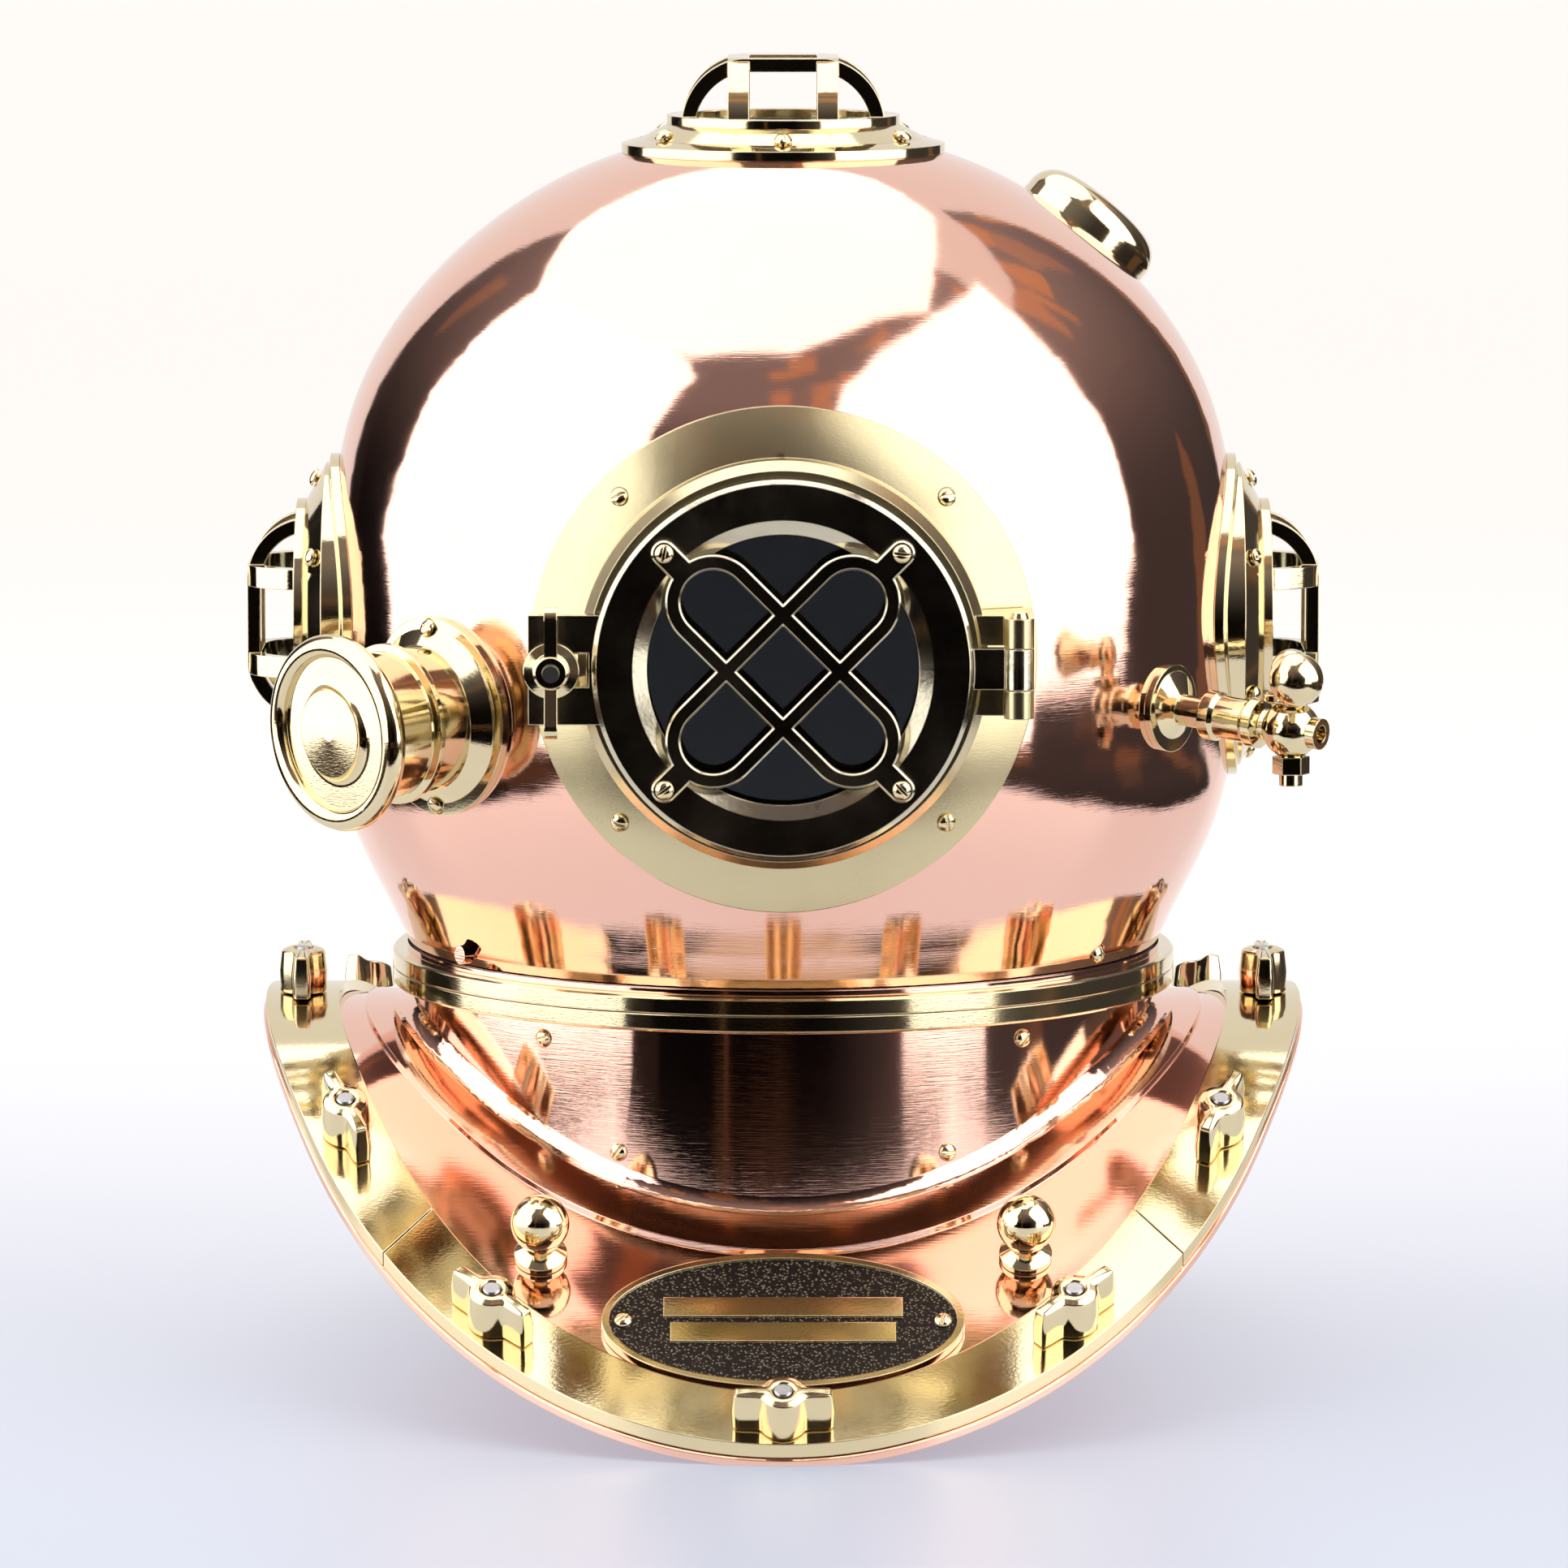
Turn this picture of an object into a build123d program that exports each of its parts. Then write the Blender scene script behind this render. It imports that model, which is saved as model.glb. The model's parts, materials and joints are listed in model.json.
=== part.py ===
from build123d import *
import math
import os

# Diving helmet: a copper bonnet that turns an eighth of a turn on an interrupted
# thread in the neck ring of a copper breastplate. Millimetres, +Z up, and -Y is
# the front. The origin is on the neck axis, on the floor under the breastplate.

# Fits between pieces
seat_gap = 0.3
running_gap = 0.06
cut_over = 5.0
inside_share = 0.8
front_inside_share = 0.7
small_inside_share = 0.85

# Breastplate: a plate bent over the shoulders, trimmed to an ellipse in plan
plate_wall = 2.0
rim_half_x = 182.5
rim_half_y = 227.4
rim_edge_z = 2.0
crest_z = 123.0
crest_y = 12.0
crest_r = 204.0
neck_r = 130.7
neck_top_z = 131.5
neck_fillet = 7.0
neck_skirt_r = 147.5
neck_skirt_thick = 1.8
neck_edge_shares = (0.1, 0.5, 0.9)

# Clamping straps on the rim
strap_wide_side = 25.9
strap_wide_front = 20.4
strap_thick = 3.8
strap_joint_gap = 0.6
strap_lip = 0.8
strap_joint_shares = (0.543, 1.457, 2.543, 3.457)

# Rim studs and their wing nuts
stud_r = 3.0
stud_angle_shares = (0.0, 0.392, 0.693, 1.0)
stud_tip = 0.6
nut_span = 33.0
nut_boss_r = 8.6
nut_top_r = 7.2
nut_high = 15.4
nut_wing_thick = 6.8
nut_wing_tip = 5.0
nut_wing_low = 1.6
nut_edge = 0.8
nut_wing_mid_shares = (1.35, 0.66)
nut_wing_top_share = 0.8

# Neck ring of the breastplate and the interrupted thread
collar_r = 137.8
collar_thick = 6.0
collar_bore_r = 122.6
collar_sleeve_z = 106.0
thread_depth = 4.0
thread_land = 4.0
thread_pitch = 10.0
thread_rows = 2
thread_sectors = 4
thread_arc = 41.0
thread_low_z = 113.0
gasket_in_r = 124.0
gasket_out_r = 131.0
gasket_deep = 2.4

# Bonnet: a spun copper shell
bonnet_r = 159.7
bonnet_wall = 2.0
bonnet_low_z = 143.8
bonnet_high = 287.6
bonnet_mid_share = 0.411
bonnet_out_shares = (0.419, 0.735, 0.934, 1.0, 0.934, 0.864)
bonnet_up_shares = (0.959, 0.843, 0.683, 0.411, 0.1314, 0.0529)
bonnet_lip_r = 132.6
bonnet_ring_bore = 110.0
bonnet_ring_up = 12.0
bonnet_ring_wall = 5.0
port_z = 261.0

# Round side and top ports, seen from their outer end
port_flange_r = 56.6
port_flange_thick = 3.2
port_edge_drop = 6.9
port_ring_r = 40.75
port_ring_top = 7.7
port_ring_wide = 6.0
port_bore_r = 34.0
pane_r = 38.0
pane_thick = 10.0
pane_gasket_thick = 1.6
guard_bar_wide = 7.4
guard_bar_thick = 4.6
guard_ring_thick = 3.2
side_guard_rise = 20.2
top_guard_rise = 23.5
guard_flat_share = 0.42
guard_shoulder_shares = (0.8, 0.72)
guard_under_shares = (0.7, 0.68)
guard_under_end_share = 0.3
guard_spread = 15.5
top_port_seat_z = 425.8
port_screws = 6
port_screw_pcd = 48.0

# Screws with round heads
screw_head_r = 3.2
screw_head_high = 2.0
screw_shank_r = 1.6
screw_long = 5.0
flange_screw_long = 2.6
screw_slot = 0.9
screw_dome_shares = ((0.92, 0.5), (0.55, 1.0))

# Front port frame
front_flange_r = 86.0
front_flange_thick = 3.0
front_body_r = 69.0
front_face = 171.5
front_bore_r = 50.0
front_screw_pcd = 78.0
front_screws = 4
front_seat_step = 1.2

# Front door: ring, glass, guard, hinge and fork
door_r = 64.0
door_thick = 11.0
door_bezel_r = 50.5
door_bezel_deep = 2.0
door_sight_r = 45.5
door_edge = 1.5
door_glass_r = 48.5
door_glass_thick = 6.0
door_gasket_in_r = 52.0
door_gasket_out_r = 61.0
hinge_out = 79.0
hinge_knuckle_r = 5.0
hinge_pin_r = 2.5
hinge_mid_high = 13.7
hinge_up_high = 10.0
hinge_low_high = 9.4
hinge_back = 6.0
hinge_head_r = 3.2
hinge_arm_thick = 7.0
hinge_arm_lap = 4.0
hinge_dome_shares = ((0.8, 0.6), (0, 0.8))
lug_root_share = 0.86
lug_back_shares = (0.83, 0.9)
fork_high = 36.8
fork_out = 85.3
fork_thick = 6.0
fork_slot = 11.6
fork_slot_end = 65.0
fork_root_share = 0.9

# Crossed guard on the door
grille_bar = 5.25
grille_pitch = 26.85
grille_reach = 43.8
grille_thick = 3.6
grille_ear_r = 4.4
grille_ear_out = 56.1
grille_bevel = 0.7
grille_turns = (45, 135)
grille_ears = 4

# Swing bolt and its wing nut
bolt_out = 77.5
bolt_r = 2.7
bolt_eye_r = 5.0
bolt_eye_thick = 7.0
bolt_pin_r = 2.0
bolt_pivot_back = 9.0
bolt_cheek_thick = 3.4
bolt_proud = 3.6
bolt_cheek_shares = (0.8, 0.9)
bolt_nose_share = 0.6
swing_nut_span = 44.3
swing_nut_boss_r = 5.9
swing_nut_skirt_r = 9.4
swing_nut_high = 10.0
swing_nut_skirt_high = 3.0
swing_nut_wing = 4.4
swing_nut_wing_long = 9.0
swing_nut_wing_up = 1.0
swing_nut_skirt_share = 0.6
swing_nut_root_share = 0.7

# Exhaust valve on the wearer's right
exhaust_turn = -48.0
exhaust_dip = 3.0
exhaust_seat_z = 237.0
exhaust_flange_r = 34.2
exhaust_flange_thick = 3.0
exhaust_cone_r = 31.0
exhaust_body_r = 25.0
exhaust_body_out = 38.0
exhaust_ridge_r = 27.5
exhaust_ridge_thick = 4.0
exhaust_wall = 4.0
exhaust_ports = 4
exhaust_port_r = 4.0
exhaust_port_step = 28.0
exhaust_port_turn = 0.0
exhaust_sunk = 2.0
exhaust_ridge_shift = 3.0
exhaust_foot_share = 2.6
exhaust_screw_in = 2.0
exhaust_screw_up = 1.0
exhaust_screw_lean = 30.0
exhaust_wheel_r = 33.7
exhaust_wheel_thick = 9.0
exhaust_wheel_gap = 3.0
wheel_bead_share = 0.42
wheel_up_shares = {"rim": 0.08, "bead": 0.5, "fall": 0.95, "dish": 0.62, "rise": 0.72, "dome": 1.0}
wheel_in_shares = {"fall": 1.6, "dish": 2.0, "rise": 0.3}
exhaust_hub_r = 15.0
exhaust_stem_r = 3.0
exhaust_stem_proud = 1.2
exhaust_bush_r = 8.0
exhaust_disc_r = 17.0
exhaust_disc_thick = 2.6
exhaust_travel = 6.0
exhaust_seat_r = 14.0
chin_button_r = 15.0
chin_button_in = 26.0
spring_wire_r = 0.8
spring_r = 6.6
spring_turns = 5

# Spitcock on the wearer's left
cock_turn = 56.0
cock_dip = 5.0
cock_seat_z = 238.0
cock_flange_r = 15.0
cock_flange_thick = 2.6
cock_ball_r = 10.0
cock_ball_out = 50.0
cock_collar_r = 8.5
cock_waist_r = 5.4
cock_barrel_r = 7.4
cock_bore_r = 3.0
cock_plug_r = 4.0
cock_washer_r = 9.5
cock_washer_thick = 3.0
cock_nut_across = 11.0
cock_nut_thick = 6.0
cock_tip_long = 4.0
cock_lever_rise = 22.0
cock_lever_long = 40.0
cock_lever_hub_r = 6.0
cock_lever_end_r = 9.2
cock_lever_thick = 5.0
cock_foot_r = 13.0
cock_foot_share = 2.4
cock_flat_share = 0.9
cock_profile_shares = (
    ("waist", 0.32),
    ("collar", 0.34),
    ("collar", 0.42),
    ("barrel", 0.45),
    ("barrel", 0.66),
    ("collar", 0.69),
    ("collar", 0.76),
    ("waist", 0.79),
)
cock_hub_shares = (1.4, 0.8)
cock_blade_share = 0.7

# Telephone cup on the wearer's left and its receiver
cup_turn = 105.0
cup_tilt = 50.0
cup_r = 28.0
cup_high = 14.0
cup_wall = 2.4
cup_flange_r = 33.0
cup_flange_thick = 2.4
cup_edge = 4.0
cup_edge_share = 0.3
cup_up = 6.0
cup_sunk = 1.5
receiver_r = 22.0
receiver_thick = 7.0
receiver_back_share = 0.6

# Bent inlets at the back: air and telephone
elbow_turn = 24.0
elbow_z = 300.0
elbow_tube_r = 12.0
elbow_bore_r = 9.0
elbow_bend_r = 26.0
elbow_bend = 55.0
elbow_run = 9.0
elbow_flange_r = 24.0
elbow_flange_thick = 4.0
elbow_end_long = 14.0
elbow_end_r = 14.5
elbow_hex = 34.0
elbow_hex_long = 9.0
elbow_sunk = 4.0
elbow_foot_r = 21.0
check_body_r = 19.0
check_long = 30.0
check_disc_r = 11.0
check_disc_thick = 2.0
check_seat_r = 8.0
check_edge = 2.0
check_mouth_r = 15.0
check_waist_shares = (0.6, 0.75)
check_spring_r = 10.0
check_spring_turns = 4

# Safety latch at the back of the neck ring
latch_pivot_z = 152.0
latch_wide = 12.0
latch_cheek = 4.0
latch_pin_r = 2.2
latch_eye_r = 5.0
latch_long = 24.0
latch_thick = 5.0
latch_out = 8.0
latch_nib = 6.0
latch_nib_long = 6.0
latch_nib_lap = 1.0
latch_root = 6.0
latch_foot_rise = 2.0
latch_bridge_thick = 6.0
latch_bridge_in = 2.0

# Nameplate and lashing studs on the breastplate
plate_half_wide = 61.35
plate_half_high = 32.0
plate_at_y = -175.6
plate_body = 2.4
plate_rim_wide = 2.6
plate_rim_high = 0.9
plate_bar_high = 9.0
plate_bar_shares = (0.66, 0.62)
plate_bar_gap = 3.0
plate_screw_share = 0.88
lash_x = 82.4
lash_y = -148.0
lash_ball_r = 10.0
lash_neck_r = 5.0
lash_neck_high = 7.0
lash_foot_r = 9.0
lash_foot_thick = 2.4
lash_ball_share = 0.9
skirt_screw_turns = (54.0, -54.0)
skirt_screw_z = 151.0
neck_screw_places = ((39.0, 125.0), (-39.0, 125.0), (25.5, 88.0), (-25.5, 88.0))


def save(solids, node):
    shape = Compound(children=solids) if isinstance(solids, list) else solids
    export_step(shape, f"parts/{node}.step")
    print(node, len(shape.solids()), round(shape.volume))


def turned(points):
    outline = Polyline(*[(r, 0, z) for r, z in points], close=True)
    return revolve(make_face(outline), Axis.Z)


def disc(radius, low, high):
    return turned([(0, low), (radius, low), (radius, high), (0, high)])


def ring(inner, outer, low, high):
    return turned([(inner, low), (outer, low), (outer, high), (inner, high)])


def looking_out(turn, dip, start):
    # A frame on the bonnet whose Z points out. Turn is from the front towards the
    # wearer's left, and dip is below the level.
    a = math.radians(turn)
    d = math.radians(dip)
    out = Vector(math.sin(a) * math.cos(d), -math.cos(a) * math.cos(d), -math.sin(d))
    side = Vector(math.cos(a), math.sin(a), 0)
    return Plane(origin=start, x_dir=side, z_dir=out)


# Breastplate geometry: a front slope, a crest arc and a rear slope


def slope_angle(edge_y):
    # The angle of the tangent from the rim's edge to the crest's circle
    across = abs(edge_y - crest_y)
    up = rim_edge_z - (crest_z - crest_r)
    away = math.hypot(across, up)
    return math.atan2(across, up) - math.acos(crest_r / away)


front_slope = slope_angle(-rim_half_y)
rear_slope = slope_angle(rim_half_y)


def plate_point(y):
    # Height of the plate's top and the slope there, as an angle, rising with y
    front_y = crest_y - crest_r * math.sin(front_slope)
    rear_y = crest_y + crest_r * math.sin(rear_slope)
    middle_z = crest_z - crest_r
    if y < front_y:
        return rim_edge_z + (y + rim_half_y) * math.tan(front_slope), front_slope
    if y > rear_y:
        return rim_edge_z + (rim_half_y - y) * math.tan(rear_slope), -rear_slope
    angle = math.asin((crest_y - y) / crest_r)
    return middle_z + crest_r * math.cos(angle), angle


def plate_frame(x, y, spin=0.0):
    # A frame on the plate's top with Z square to it, turned by spin about Z
    z, angle = plate_point(y)
    up = Vector(0, -math.sin(angle), math.cos(angle))
    along = Vector(1, 0, 0).rotate(Axis((0, 0, 0), tuple(up)), spin)
    return Plane(origin=(x, y, z), x_dir=along, z_dir=up)


def saddle(lift, half_x, half_y):
    # Everything under the plate's top, moved out by lift, inside an ellipse
    far = rim_half_y + cut_over
    shift_front = Vector(-math.sin(front_slope), math.cos(front_slope)) * lift
    shift_rear = Vector(math.sin(rear_slope), math.cos(rear_slope)) * lift
    centre = Vector(crest_y, crest_z - crest_r)
    radius = crest_r + lift
    front_end = centre + Vector(-math.sin(front_slope), math.cos(front_slope)) * radius
    rear_end = centre + Vector(math.sin(rear_slope), math.cos(rear_slope)) * radius
    crown = centre + Vector(0, radius)
    front_low = Vector(-far, plate_point(-far)[0]) + shift_front
    rear_low = Vector(far, plate_point(far)[0]) + shift_rear
    floor = -2 * far

    def at(point):
        return (0, point.X, point.Y)

    lines = [
        Line(at(front_low), at(front_end)),
        ThreePointArc(at(front_end), at(crown), at(rear_end)),
        Line(at(rear_end), at(rear_low)),
        Line(at(rear_low), (0, rear_low.X, floor)),
        Line((0, rear_low.X, floor), (0, front_low.X, floor)),
        Line((0, front_low.X, floor), at(front_low)),
    ]
    face = make_face(lines)
    block = extrude(face, half_x + cut_over, dir=(1, 0, 0), both=True)
    plan = extrude(Ellipse(half_x, half_y), crest_z + 2 * cut_over, both=True)
    return block & plan


def breastplate():
    outer = saddle(0, rim_half_x + strap_lip, rim_half_y + strap_lip)
    skirt = saddle(neck_skirt_thick, rim_half_x, rim_half_y)
    outer += skirt & disc(neck_skirt_r, -cut_over, neck_top_z)
    outer += disc(neck_r, 0, neck_top_z)
    bend = [
        e
        for e in outer.edges()
        if abs(math.hypot(e.center().X, e.center().Y)) < neck_r + plate_wall
        and e.bounding_box().max.Z < neck_top_z - plate_wall
        and e.bounding_box().size.X > plate_wall
    ]
    bend = [e for e in bend if all(on_neck(e @ t) for t in neck_edge_shares)]
    outer = fillet(bend, neck_fillet)
    inner = saddle(-plate_wall, rim_half_x + cut_over, rim_half_y + cut_over)
    inner += disc(neck_r - plate_wall, 0, neck_top_z + cut_over)
    foot = Box(
        4 * rim_half_x,
        4 * rim_half_y,
        4 * rim_half_y,
        align=(Align.CENTER, Align.CENTER, Align.MIN),
    )
    return (outer - inner) & foot


def on_neck(point):
    return abs(math.hypot(point.X, point.Y) - neck_r) < seat_gap


stud_half_x = rim_half_x - strap_wide_side / 2
stud_half_y = rim_half_y - strap_wide_front / 2


def rim_places():
    # Stud places round the rim as x, y and the turn of the rim there
    angles = [90 * share for share in stud_angle_shares]
    turns = angles[:-1] + [180 - a for a in reversed(angles)]
    turns = turns[:-1] + [180 + a for a in angles[:-1]] + [360 - a for a in reversed(angles)]
    places = []
    for t in sorted({round(t % 360, 3) for t in turns}):
        a = math.radians(t)
        x = stud_half_x * math.sin(a)
        y = -stud_half_y * math.cos(a)
        tangent = math.degrees(math.atan2(stud_half_y * math.sin(a), stud_half_x * math.cos(a)))
        places.append((x, y, tangent))
    return places


def straps():
    # Four clamping straps, cut where the ends meet between the studs
    top = saddle(strap_thick + seat_gap, rim_half_x, rim_half_y)
    band = top - saddle(seat_gap, rim_half_x + cut_over, rim_half_y + cut_over)
    inside = Ellipse(rim_half_x - strap_wide_side, rim_half_y - strap_wide_front)
    band -= extrude(inside, crest_z + 3 * cut_over, both=True)
    for x, y, _ in rim_places():
        hole = disc(stud_r + seat_gap, -cut_over, strap_thick + cut_over)
        band -= plate_frame(x, y) * hole
    for share in strap_joint_shares:
        a = math.radians(90 * share)
        x = stud_half_x * math.sin(a)
        y = -stud_half_y * math.cos(a)
        turn = math.degrees(math.atan2(y, x))
        slot = Box(3 * strap_wide_side, strap_joint_gap, 4 * crest_z)
        band -= Location((x, y, 0), (0, 0, turn)) * slot
    parts = band.solids()
    front = parts.sort_by(Axis.Y)[0]
    rear = parts.sort_by(Axis.Y)[-1]
    left = parts.sort_by(Axis.X)[-1]
    right = parts.sort_by(Axis.X)[0]
    return {"front": front, "left": left, "rear": rear, "right": right}


def rim_studs():
    long = nut_high + strap_thick + seat_gap * 2 + stud_tip
    studs = []
    for x, y, _ in rim_places():
        stud = turned(
            [
                (0, 0),
                (stud_r, 0),
                (stud_r, long - stud_tip),
                (stud_r - stud_tip, long),
                (0, long),
            ]
        )
        studs.append(plate_frame(x, y) * stud)
    return studs


def wing_nut():
    # A tapered boss with two upright wings, bored for its stud
    boss = turned(
        [
            (0, 0),
            (nut_boss_r, 0),
            (nut_boss_r, nut_edge),
            (nut_top_r, nut_high - nut_edge),
            (nut_top_r - nut_edge, nut_high),
            (0, nut_high),
        ]
    )
    half = nut_span / 2
    tip_z = nut_wing_low + nut_wing_tip
    mid_x = nut_top_r * nut_wing_mid_shares[0]
    mid_z = nut_high * nut_wing_mid_shares[1]
    top_x = nut_top_r * nut_wing_top_share
    wing = make_face(
        [
            Line((-half, 0, nut_wing_low), (half, 0, nut_wing_low)),
            Line((half, 0, nut_wing_low), (half, 0, tip_z)),
            ThreePointArc((half, 0, tip_z), (mid_x, 0, mid_z), (top_x, 0, nut_high)),
            Line((top_x, 0, nut_high), (-top_x, 0, nut_high)),
            ThreePointArc((-top_x, 0, nut_high), (-mid_x, 0, mid_z), (-half, 0, tip_z)),
            Line((-half, 0, tip_z), (-half, 0, nut_wing_low)),
        ]
    )
    nut = boss + extrude(wing, nut_wing_thick / 2, dir=(0, 1, 0), both=True)
    return nut - disc(stud_r + running_gap, -cut_over, nut_high + cut_over)


def threads(inner, outer, low):
    # Rows of interrupted thread, each a land over four sectors
    far = 2 * outer
    wide = far * math.tan(math.radians(thread_arc / 2))
    corners = [(0, 0), (far, -wide), (far, wide)]
    sector = extrude(make_face(Polyline(*corners, close=True)), neck_top_z)
    lands = []
    for row in range(thread_rows):
        base = low + row * thread_pitch
        land = ring(inner, outer, base, base + thread_land)
        for k in range(thread_sectors):
            turn = Rotation(0, 0, k * 360 / thread_sectors)
            lands += (land & (turn * sector)).solids()
    return lands


def neck_ring():
    seat_z = neck_top_z + collar_thick
    body = turned(
        [
            (collar_bore_r, collar_sleeve_z),
            (neck_r - plate_wall - seat_gap, collar_sleeve_z),
            (neck_r - plate_wall - seat_gap, neck_top_z),
            (collar_r - strap_lip, neck_top_z),
            (collar_r, neck_top_z + strap_lip),
            (collar_r, seat_z),
            (gasket_out_r, seat_z),
            (gasket_out_r, seat_z - gasket_deep),
            (gasket_in_r, seat_z - gasket_deep),
            (gasket_in_r, seat_z),
            (collar_bore_r, seat_z),
        ]
    )
    land_low = thread_low_z + thread_land + seat_gap
    lands = threads(collar_bore_r - thread_depth, collar_bore_r + seat_gap, land_low)
    for land in lands:
        body += land
    notch = Box(latch_wide + 2 * seat_gap, 2 * latch_nib, collar_thick + 2 * cut_over)
    return body - Location((0, collar_r, seat_z)) * notch


def bonnet_ring():
    low = neck_top_z + collar_thick + seat_gap
    spigot_r = collar_bore_r - thread_depth - seat_gap
    up_r = neck_r - plate_wall - seat_gap
    body = turned(
        [
            (bonnet_ring_bore, thread_low_z - thread_land),
            (spigot_r, thread_low_z - thread_land),
            (spigot_r, low),
            (collar_r, low),
            (collar_r, bonnet_low_z - strap_lip),
            (collar_r - strap_lip, bonnet_low_z),
            (up_r, bonnet_low_z),
            (up_r, bonnet_low_z + bonnet_ring_up),
            (up_r - bonnet_ring_wall, bonnet_low_z + bonnet_ring_up),
            (bonnet_ring_bore, bonnet_low_z),
        ]
    )
    for land in threads(spigot_r - seat_gap, collar_bore_r - seat_gap, thread_low_z):
        body += land
    return body


def neck_gasket():
    top = neck_top_z + collar_thick
    return ring(gasket_in_r + seat_gap, gasket_out_r - seat_gap, top - gasket_deep, top)


def bonnet_solid(lift):
    # The bonnet's outside, moved out by lift, as one solid
    middle = bonnet_low_z + bonnet_high * bonnet_mid_share
    points = []
    for out, up in zip(bonnet_out_shares, bonnet_up_shares):
        r = bonnet_r * out
        z = bonnet_low_z + bonnet_high * up
        away = math.hypot(r, z - middle)
        points.append((r + lift * r / away, 0, z + lift * (z - middle) / away))
    top = bonnet_low_z + bonnet_high + lift
    low = (neck_r + lift, 0, bonnet_low_z)
    curve = Spline((0, 0, top), *points, low, tangents=[(1, 0, 0), (-1, 0, -2)])
    sides = [
        curve,
        Line(low, (0, 0, bonnet_low_z)),
        Line((0, 0, bonnet_low_z), (0, 0, top)),
    ]
    return revolve(make_face(sides), Axis.Z)


bonnet_outside = bonnet_solid(0)

front_frame = looking_out(0, 0, (0, 0, port_z))
left_frame = looking_out(90, 0, (0, 0, port_z))
right_frame = looking_out(-90, 0, (0, 0, port_z))
top_frame = Plane(origin=(0, 0, top_port_seat_z - bonnet_r), x_dir=(1, 0, 0), z_dir=(0, 0, 1))


def bonnet_shell(holes):
    shell = bonnet_outside - bonnet_solid(-bonnet_wall)
    lip = ring(neck_r - plate_wall, bonnet_lip_r, bonnet_low_z, bonnet_low_z + plate_wall)
    shell += lip
    for hole in holes:
        shell -= hole
    return shell


def on_bonnet(place, inner, radius, thick, body):
    # A flange rim that follows the bonnet, with a turned body on it
    block = place * ring(inner, radius, 0, 2 * bonnet_r)
    flange = block & bonnet_solid(thick)
    return (flange + place * body) - bonnet_outside


def reach(place, lift):
    # How far out the lifted bonnet lies along the place's Z
    far = place.origin + place.z_dir * (2 * bonnet_r)
    inside = bonnet_solid(lift) & Line(place.origin, far)
    return max((e @ t - place.origin).dot(place.z_dir) for e in inside.edges() for t in (0, 1))


def screw(place, long=screw_long):
    # A slotted round head on a short shank that goes down from the place
    head = turned(
        [
            (0, -long),
            (screw_shank_r, -long),
            (screw_shank_r, 0),
            (screw_head_r, 0),
            *[(screw_head_r * out, screw_head_high * up) for out, up in screw_dome_shares],
            (0, screw_head_high),
        ]
    )
    slot = Location((0, 0, screw_head_high)) * Box(2 * screw_head_r, screw_slot, screw_head_high)
    return place * (head - slot)


def screw_hole(place, deep):
    # The hole for a screw's shank and the flat that its head sits on
    bore = disc(screw_shank_r + running_gap, -deep, screw_head_high)
    return place * (bore + disc(screw_head_r + running_gap, 0, 2 * screw_head_high))


# Side and top ports

port_ring_at = bonnet_r + port_ring_top


def port_screw_places(place):
    rise = math.degrees(math.atan2(port_edge_drop, port_flange_r - port_ring_r))
    cone_face = port_ring_at - (port_screw_pcd - port_ring_r) * math.tan(math.radians(rise))
    places = []
    for k in range(port_screws):
        turn = Rotation(0, 0, (k + 0.5) * 360 / port_screws)
        tilt = Location((port_screw_pcd, 0, cone_face), (0, rise, 0))
        places.append(place.location * turn * tilt)
    return places


def port_frame(place):
    back = bonnet_r * inside_share
    low = port_ring_at - port_edge_drop
    seat = port_ring_at - pane_thick - pane_gasket_thick
    body = turned(
        [
            (port_bore_r, back),
            (port_flange_r - port_flange_thick, back),
            (port_flange_r - port_flange_thick, low),
            (port_ring_r, port_ring_at),
            (pane_r + seat_gap, port_ring_at),
            (pane_r + seat_gap, seat),
            (port_bore_r, seat),
        ]
    )
    inner = port_flange_r - 2 * port_flange_thick
    frame = on_bonnet(place, inner, port_flange_r, port_flange_thick, body)
    frame -= place * disc(port_bore_r, 0, port_ring_at)
    frame -= place * disc(pane_r + seat_gap, seat, 2 * bonnet_r)
    sleeve_low = port_ring_at - pane_thick - 3 * plate_wall
    sleeve = ring(port_bore_r, pane_r + seat_gap + plate_wall, sleeve_low, port_ring_at)
    sleeve -= disc(pane_r + seat_gap, seat, 2 * bonnet_r)
    frame += place * sleeve
    for spot in port_screw_places(place):
        frame -= screw_hole(spot, flange_screw_long + running_gap)
    return frame


def port_hole(place, radius):
    return place * disc(radius, bonnet_r / 2, 2 * bonnet_r)


def port_pane(place):
    top = port_ring_at
    return place * disc(pane_r, top - pane_thick, top)


def port_gasket(place):
    low = port_ring_at - pane_thick - pane_gasket_thick
    return place * ring(port_bore_r, pane_r, low, low + pane_gasket_thick)


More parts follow.
